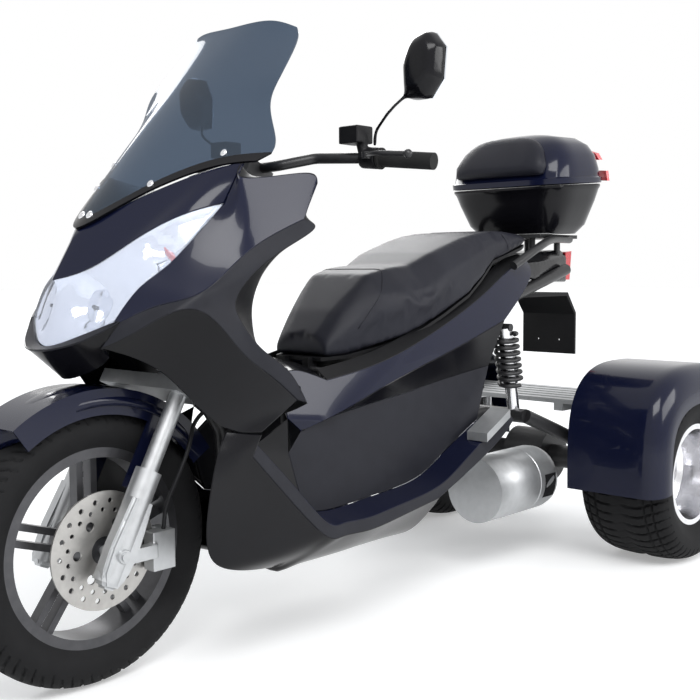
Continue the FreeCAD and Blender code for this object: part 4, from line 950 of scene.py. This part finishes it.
slab(label, [drum_start + Vector((DRUM * 1.003 * math.cos(a), LENGTH * y, DRUM * 1.003 * math.sin(a)))
             for y, a in ((0.72, 0.25), (0.72, 0.0), (0.72, -0.25), (0.72, -0.5), (0.9, -0.5), (0.9, -0.25),
                          (0.9, 0.0), (0.9, 0.25))], Vector((0.001, 0, 0)))
from_bmesh("drum_plate", closed(label), "black_plastic", "chassis")

# %% [markdown]
# ## Fenders
# The rear fenders are pressed sheet: a flat outer wall that turns over a soft shoulder into the crown. The
# front one follows the wheel and narrows to a point. Both are grids bent by a rule.

# %% Rear fenders
def rear_fender(side):
    low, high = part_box("rear_fenders")
    inner, outer, shoulder, roll, lift = 0.262, high.x, 0.05, 0.075, 0.035
    reach_front, reach_back, crown = rear_axle.y - low.y, high.y - rear_axle.y, high.z
    grid = []
    columns, rows = 22, 40
    bm = bmesh.new()
    for i in range(rows + 1):
        turn = math.radians(-96 + 188 * i / rows)
        reach = reach_front if turn < 0 else reach_back
        y = math.copysign(abs(math.sin(turn)) ** 0.72, turn) * reach
        z = rear_axle.z + lift + (crown - rear_axle.z - lift) * math.copysign(abs(math.cos(turn)) ** 0.62,
                                                                               math.cos(turn))
        row = []
        for k in range(columns + 1):
            t = k / columns
            angle = min(max((t - 0.55) / 0.25, 0), 1) * math.pi / 2
            drop = roll * (1 - math.cos(angle)) + max(t - 0.8, 0) * 0.10
            x = inner + (outer - inner - shoulder) * min(t / 0.55, 1) + shoulder * math.sin(angle)
            shrink = 1 - drop / math.hypot(reach, crown - rear_axle.z)
            row.append(bm.verts.new(Vector((side * x, rear_axle.y + y * shrink,
                                            rear_axle.z + (z - rear_axle.z) * (1 - drop / 0.29)))))
        grid.append(row)
    for one, two in zip(grid, grid[1:]):
        bridge(bm, one, two, around=False)
    return bm


both_fenders = bmesh.new()
for side in (1, -1):
    one = rear_fender(side)
    mesh = bpy.data.meshes.new("fender_side")
    face_outwards(one, Vector((side * 0.39, rear_axle.y, rear_axle.z)))
    one.to_mesh(mesh)
    one.free()
    both_fenders.from_mesh(mesh)
    bpy.data.meshes.remove(mesh)
from_bmesh("rear_fender_sheets", thicken(both_fenders, 0.003), "paint", "chassis", ["rear_fenders"],
           angle=0.9)

# %% Front fender
FENDER = [(-40, 6, 291), (-34, 34, 290), (-24, 54, 291), (-8, 64, 293), (10, 66, 294), (28, 66, 294),
          (44, 64, 293), (58, 58, 291)]


def front_fender():
    bm = bmesh.new()
    grid = []
    dense = []
    for one, two in zip(FENDER, FENDER[1:]):
        for k in range(5):
            dense.append([a + (b - a) * k / 5 for a, b in zip(one, two)])
    dense.append(list(FENDER[-1]))
    for turn, half, radius in dense:
        row = []
        for k in range(17):
            angle = math.pi * (k / 16 - 0.5)
            x = half * math.copysign(abs(math.sin(angle)) ** 0.85, angle)
            r = radius - 34 + 34 * abs(math.cos(angle)) ** 0.7 + 6
            lean = math.radians(turn)
            row.append(bm.verts.new(front_axle + Vector((x, r * math.sin(lean), r * math.cos(lean))) / 1000))
        grid.append(row)
    for one, two in zip(grid, grid[1:]):
        bridge(bm, one, two, around=False)
    bmesh.ops.recalc_face_normals(bm, faces=bm.faces)
    if sum(f.normal.z for f in bm.faces) < 0:
        bmesh.ops.reverse_faces(bm, faces=bm.faces)
    return thicken(bm, 0.0025)


from_bmesh("front_fender_sheet", front_fender(), "paint", "steering", angle=1.2)

# %% [markdown]
# ## Headlamp inside
# Behind the clear lens sits a bright reflector. It is the lens surface set back, with two dished bowls on
# each side. The large ones hold the headlamps and the small ones the signal lamps.

# %% Headlamp inside
face_outwards(lens_surface, spot(0, 180, 760))
lens_surface.normal_update()
BOWLS = [(66, -18, 712, 46, 26), (150, 82, 808, 34, 16)]
seats = []
for x, y, z, reach, depth in BOWLS:
    for side in (1, -1):
        seats.append(min(lens_surface.verts, key=lambda v: (v.co - spot(x * side, y, z)).length))
for vertex in lens_surface.verts:
    back = 0.004 if vertex.is_boundary else 0.010
    for x, y, z, reach, depth in BOWLS:
        for side in (1, -1):
            away = (vertex.co - spot(x * side, y, z)).length * 1000 / reach
            if away < 1 and not vertex.is_boundary:
                back += depth / 1000 * (1 - away ** 2)
    vertex.co -= vertex.normal * back
lamp_places = [(vertex.co.copy(), vertex.normal.copy()) for vertex in seats]
from_bmesh("headlamp_reflector", lens_surface, "reflector", "chassis", angle=0.5)


def lamp(bm, centre, facing, radius):
    """A lamp: a tapered holder and a short bulb, looking along its axis."""
    way = facing.normalized()
    tube(bm, [centre - way * 0.012, centre + way * 0.004, centre + way * 0.014],
         [radius, radius * 0.9, radius * 0.5], 20)
    tube(bm, [centre + way * 0.014, centre + way * 0.021], [radius * 0.35] * 2, 16)
    return bm


bulbs = bmesh.new()
signals = bmesh.new()
for bm, places, radius in ((bulbs, lamp_places[:2], 0.010), (signals, lamp_places[2:], 0.005)):
    for centre, facing in places:
        lamp(bm, centre, facing, radius)
from_bmesh("headlamp_bulbs", closed(bulbs), "dark_alloy", "chassis")
from_bmesh("signal_bulbs", closed(signals), "red_lens", "chassis")

# %% [markdown]
# ## Repeated parts with Geometry Nodes
# Screws and springs repeat, so node trees make them. One tree copies a domed screw head onto points and turns
# it to a given direction. Another sweeps a round wire along a helix between two heights.

# %% Node trees
def tree_with(name, inputs):
    tree = bpy.data.node_groups.new(name, "GeometryNodeTree")
    tree.interface.new_socket("Geometry", in_out="INPUT", socket_type="NodeSocketGeometry")
    for label, kind, value in inputs:
        tree.interface.new_socket(label, in_out="INPUT", socket_type=kind).default_value = value
    tree.interface.new_socket("Geometry", in_out="OUTPUT", socket_type="NodeSocketGeometry")
    return tree, tree.nodes.new("NodeGroupInput"), tree.nodes.new("NodeGroupOutput")


def step(tree, kind, links=(), **values):
    node = tree.nodes.new(kind)
    for name, value in values.items():
        slot = name.replace("_", " ")
        if slot in node.inputs:
            node.inputs[slot].default_value = value
        else:
            setattr(node, name, value)
    for source, target in links:
        tree.links.new(source, node.inputs[target])
    return node


def dressed(tree, made, material, result):
    """End a tree: real geometry with its material."""
    real = step(tree, "GeometryNodeRealizeInstances", [(made.outputs[0], "Geometry")])
    covered = step(tree, "GeometryNodeSetMaterial", [(real.outputs[0], "Geometry")], Material=material)
    tree.links.new(covered.outputs[0], result.inputs[0])
    return tree


def screw_tree(material):
    tree, given, result = tree_with("screws", [
        ("Radius", "NodeSocketFloat", 0.006), ("Turn", "NodeSocketVector", (0.0, 0.0, 0.0))])
    head = step(tree, "GeometryNodeMeshUVSphere", [(given.outputs["Radius"], "Radius")], Segments=16, Rings=8)
    flat = step(tree, "GeometryNodeTransform", [(head.outputs[0], "Geometry")], Scale=(1.0, 1.0, 0.55))
    copies = step(tree, "GeometryNodeInstanceOnPoints", [
        (given.outputs[0], "Points"), (flat.outputs[0], "Instance"), (given.outputs["Turn"], "Rotation")])
    return dressed(tree, copies, material, result)


def spring_tree(material):
    tree, given, result = tree_with("spring", [
        ("Radius", "NodeSocketFloat", 0.026), ("Wire", "NodeSocketFloat", 0.0045),
        ("Height", "NodeSocketFloat", 0.12), ("Coils", "NodeSocketFloat", 7.0)])
    helix = step(tree, "GeometryNodeCurveSpiral", [
        (given.outputs["Radius"], "Start Radius"), (given.outputs["Radius"], "End Radius"),
        (given.outputs["Height"], "Height"), (given.outputs["Coils"], "Rotations")], Resolution=24)
    ring = step(tree, "GeometryNodeCurvePrimitiveCircle", [(given.outputs["Wire"], "Radius")], Resolution=10)
    swept = step(tree, "GeometryNodeCurveToMesh", [
        (helix.outputs[0], "Curve"), (ring.outputs[0], "Profile Curve")], Fill_Caps=True)
    return dressed(tree, swept, material, result)


def run_tree(made, tree, **values):
    modifier = made.modifiers.new("made", "NODES")
    modifier.node_group = tree
    sockets = {item.name: item.identifier for item in tree.interface.items_tree if item.in_out == "INPUT"}
    for name, value in values.items():
        modifier[sockets[name]] = value
    return settled(made)


def screws(name, places, radius, turn, slot, body):
    made = run_tree(bare(name, places, []), screw_tree(finishes[slot]), Radius=radius, Turn=turn)
    made.data.shade_smooth()
    return done(made, slot, body)


SCREEN_SCREWS = [(26, 2, 862), (92, 92, 938), (172, 204, 988)]
sheet_piece = bpy.data.objects["windscreen_sheet"]


def on_sheet(x, y, z):
    return sheet_piece.closest_point_on_mesh(spot(x, y, z))[1]


screws("screen_screws", [on_sheet(x * side, y, z) for x, y, z in SCREEN_SCREWS for side in (1, -1)], 0.0085,
       (1.0, 0.0, 0.0), "polished_alloy", "chassis")
FENDER_SCREWS = [(0.30, 0.165, -0.16), (0.42, 0.268, -0.05), (0.30, 0.10, -0.235)]
screws("fender_screws", [Vector((side * x, rear_axle.y + y, rear_axle.z + z)) for x, z, y in FENDER_SCREWS
                         for side in (1, -1)], 0.006, (1.2, 0.0, 0.0), "polished_alloy", "chassis")

# %% Springs
EYE_ZONE = 0.03


def shock_line(side):
    """The damper's own line, from its lower eye to its upper one."""
    points = [v.co for v in nodes["rear_shocks"].data.vertices if v.co.x * side > 0]
    low, high = min(p.z for p in points), max(p.z for p in points)
    lower = [p for p in points if p.z < low + EYE_ZONE]
    upper = [p for p in points if p.z > high - EYE_ZONE]
    return sum(lower, Vector()) / len(lower), sum(upper, Vector()) / len(upper)


springs = bmesh.new()
for side in (1, -1):
    start, end = shock_line(side)
    way = (end - start).normalized()
    length = (end - start).length
    wire = run_tree(bare("spring_side", [(0, 0, 0)], []), spring_tree(finishes["black_steel"]), Radius=0.029,
                    Wire=0.0052, Height=length * 0.62, Coils=8.0)
    turn = way.to_track_quat("Z", "Y").to_matrix().to_4x4()
    wire.data.transform(Matrix.Translation(start + way * length * 0.3) @ turn)
    springs.from_mesh(wire.data)
    bpy.data.objects.remove(wire)
from_bmesh("shock_springs", springs, "black_steel", "chassis", angle=1.2)
dampers = bmesh.new()
for side in (1, -1):
    start, end = shock_line(side)
    tube(dampers, [start, start.lerp(end, 0.3), start.lerp(end, 0.32), start.lerp(end, 1.0)],
         [0.016, 0.016, 0.019, 0.019], 24)
from_bmesh("shock_bodies", closed(dampers), "polished_alloy", "chassis", ["rear_shocks"])

# %% [markdown]
# ## Fork ends
# Each fork leg ends in a cast foot that holds the axle. The foot leans back with the fork, and a turned nut
# closes the axle's end.

# %% Fork feet
FOOT = [(-24, 110), (24, 110), (30, 60), (35, 8), (30, -34), (16, -62), (-14, -64), (-26, -40), (-30, 8),
        (-27, 60)]
feet = bmesh.new()
leg_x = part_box("fork")[1].x - 0.028
rake = math.radians(28)
for side in (1, -1):
    outline = []
    for back, up in FOOT:
        y = back * math.cos(rake) + up * math.sin(rake)
        z = -back * math.sin(rake) + up * math.cos(rake)
        outline.append(front_axle + Vector((side * leg_x * 1000 - 14 * side, y, z)) / 1000)
    slab(feet, outline, Vector((side * 0.032, 0, 0)))
bmesh.ops.recalc_face_normals(feet, faces=feet.faces)
bmesh.ops.bevel(feet, geom=feet.edges[:], offset=0.006, segments=3, affect="EDGES")
NUT = [(0.010, 0.0005), (0.024, 0.0005), (0.024, 0.012), (0.020, 0.014), (0.010, 0.014)]
turned(feet, [(leg_x + across, radius) for across, radius in NUT], front_axle, 24)
from_bmesh("fork_feet", closed(feet), "silver_alloy", "steering")

# %% [markdown]
# ## Floor and light
# A pale floor and a soft, even sky. Two wide panels above the left side give the long highlights that a dark
# glossy body needs. Camera rays see a white background, and so do reflections and clear parts. For the same
# rays a faint glow lifts the floor, more so further from the trike, so that it fades into that white.

# %% Floor
FLOOR_REACH, SKY = 30, 0.45
GLOW = {"From_Min": 1.5, "From_Max": 5.0, "To_Min": 0.32, "To_Max": 0.75}


def seen_rays(tree):
    """One for a ray from the camera, a reflection or clear material, else zero."""
    rays = tree.nodes.new("ShaderNodeLightPath")
    total = rays.outputs["Is Camera Ray"]
    for kind in ("Is Glossy Ray", "Is Transmission Ray"):
        add = tree.nodes.new("ShaderNodeMath")
        add.use_clamp = True
        tree.links.new(total, add.inputs[0])
        tree.links.new(rays.outputs[kind], add.inputs[1])
        total = add.outputs[0]
    return total


def add_floor():
    mesh = bpy.data.meshes.new("floor")
    r = FLOOR_REACH
    mesh.from_pydata([(-r, -r, 0), (r, -r, 0), (r, r, 0), (-r, r, 0)], [], [(0, 1, 2, 3)])
    floor = bpy.data.objects.new("floor", mesh)
    scene.collection.objects.link(floor)
    f = Finish("studio_floor")
    grain = f.noise(3, 2.0)
    body = f.node("BsdfPrincipled", Base_Color=f.blend(grain, rgb(0.80, 0.80, 0.80), rgb(0.84, 0.84, 0.84)),
                  Roughness=0.7)
    away = f.node("VectorMath", {"operation": "LENGTH"}, out=1, i0=f.place())
    glow = f.node("Emission", Color=rgb(1, 1, 1), Strength=f.node("MapRange", Value=away, **GLOW))
    lit = f.node("AddShader", i0=body, i1=glow)
    f.shown(f.node("MixShader", i0=Wire(f.tree, seen_rays(f.tree)), i1=body, i2=lit))
    mesh.materials.append(f.material)


def add_sky():
    world = bpy.data.worlds.new("studio")
    scene.world = world
    world.use_nodes = True
    tree = world.node_tree
    tree.nodes.clear()
    output = tree.nodes.new("ShaderNodeOutputWorld")
    white = tree.nodes.new("ShaderNodeBackground")
    white.inputs[0].default_value = (1, 1, 1, 1)
    soft = tree.nodes.new("ShaderNodeBackground")
    soft.inputs[0].default_value = (0.90, 0.95, 1.0, 1)
    soft.inputs[1].default_value = SKY
    mix = tree.nodes.new("ShaderNodeMixShader")
    tree.links.new(seen_rays(tree), mix.inputs[0])
    tree.links.new(soft.outputs[0], mix.inputs[1])
    tree.links.new(white.outputs[0], mix.inputs[2])
    tree.links.new(mix.outputs[0], output.inputs[0])


def add_panel(name, place, aim, width, height, power):
    data = bpy.data.lights.new(name, "AREA")
    data.shape = "RECTANGLE"
    data.size, data.size_y, data.energy = width, height, power
    lamp = bpy.data.objects.new(name, data)
    lamp.location = place
    lamp.rotation_euler = (Vector(aim) - Vector(place)).to_track_quat("-Z", "Y").to_euler()
    scene.collection.objects.link(lamp)


add_floor()
add_sky()
add_panel("key", (2.2, -1.6, 3.2), (0, 0, 0.6), 2.4, 1.6, 110)
add_panel("side", (3.2, 1.2, 1.8), (0, 0.2, 0.6), 2.6, 1.2, 60)
add_panel("back", (-2.6, 1.6, 2.6), (0, 0, 0.7), 2.4, 1.4, 60)
scene.view_settings.view_transform = "Standard"
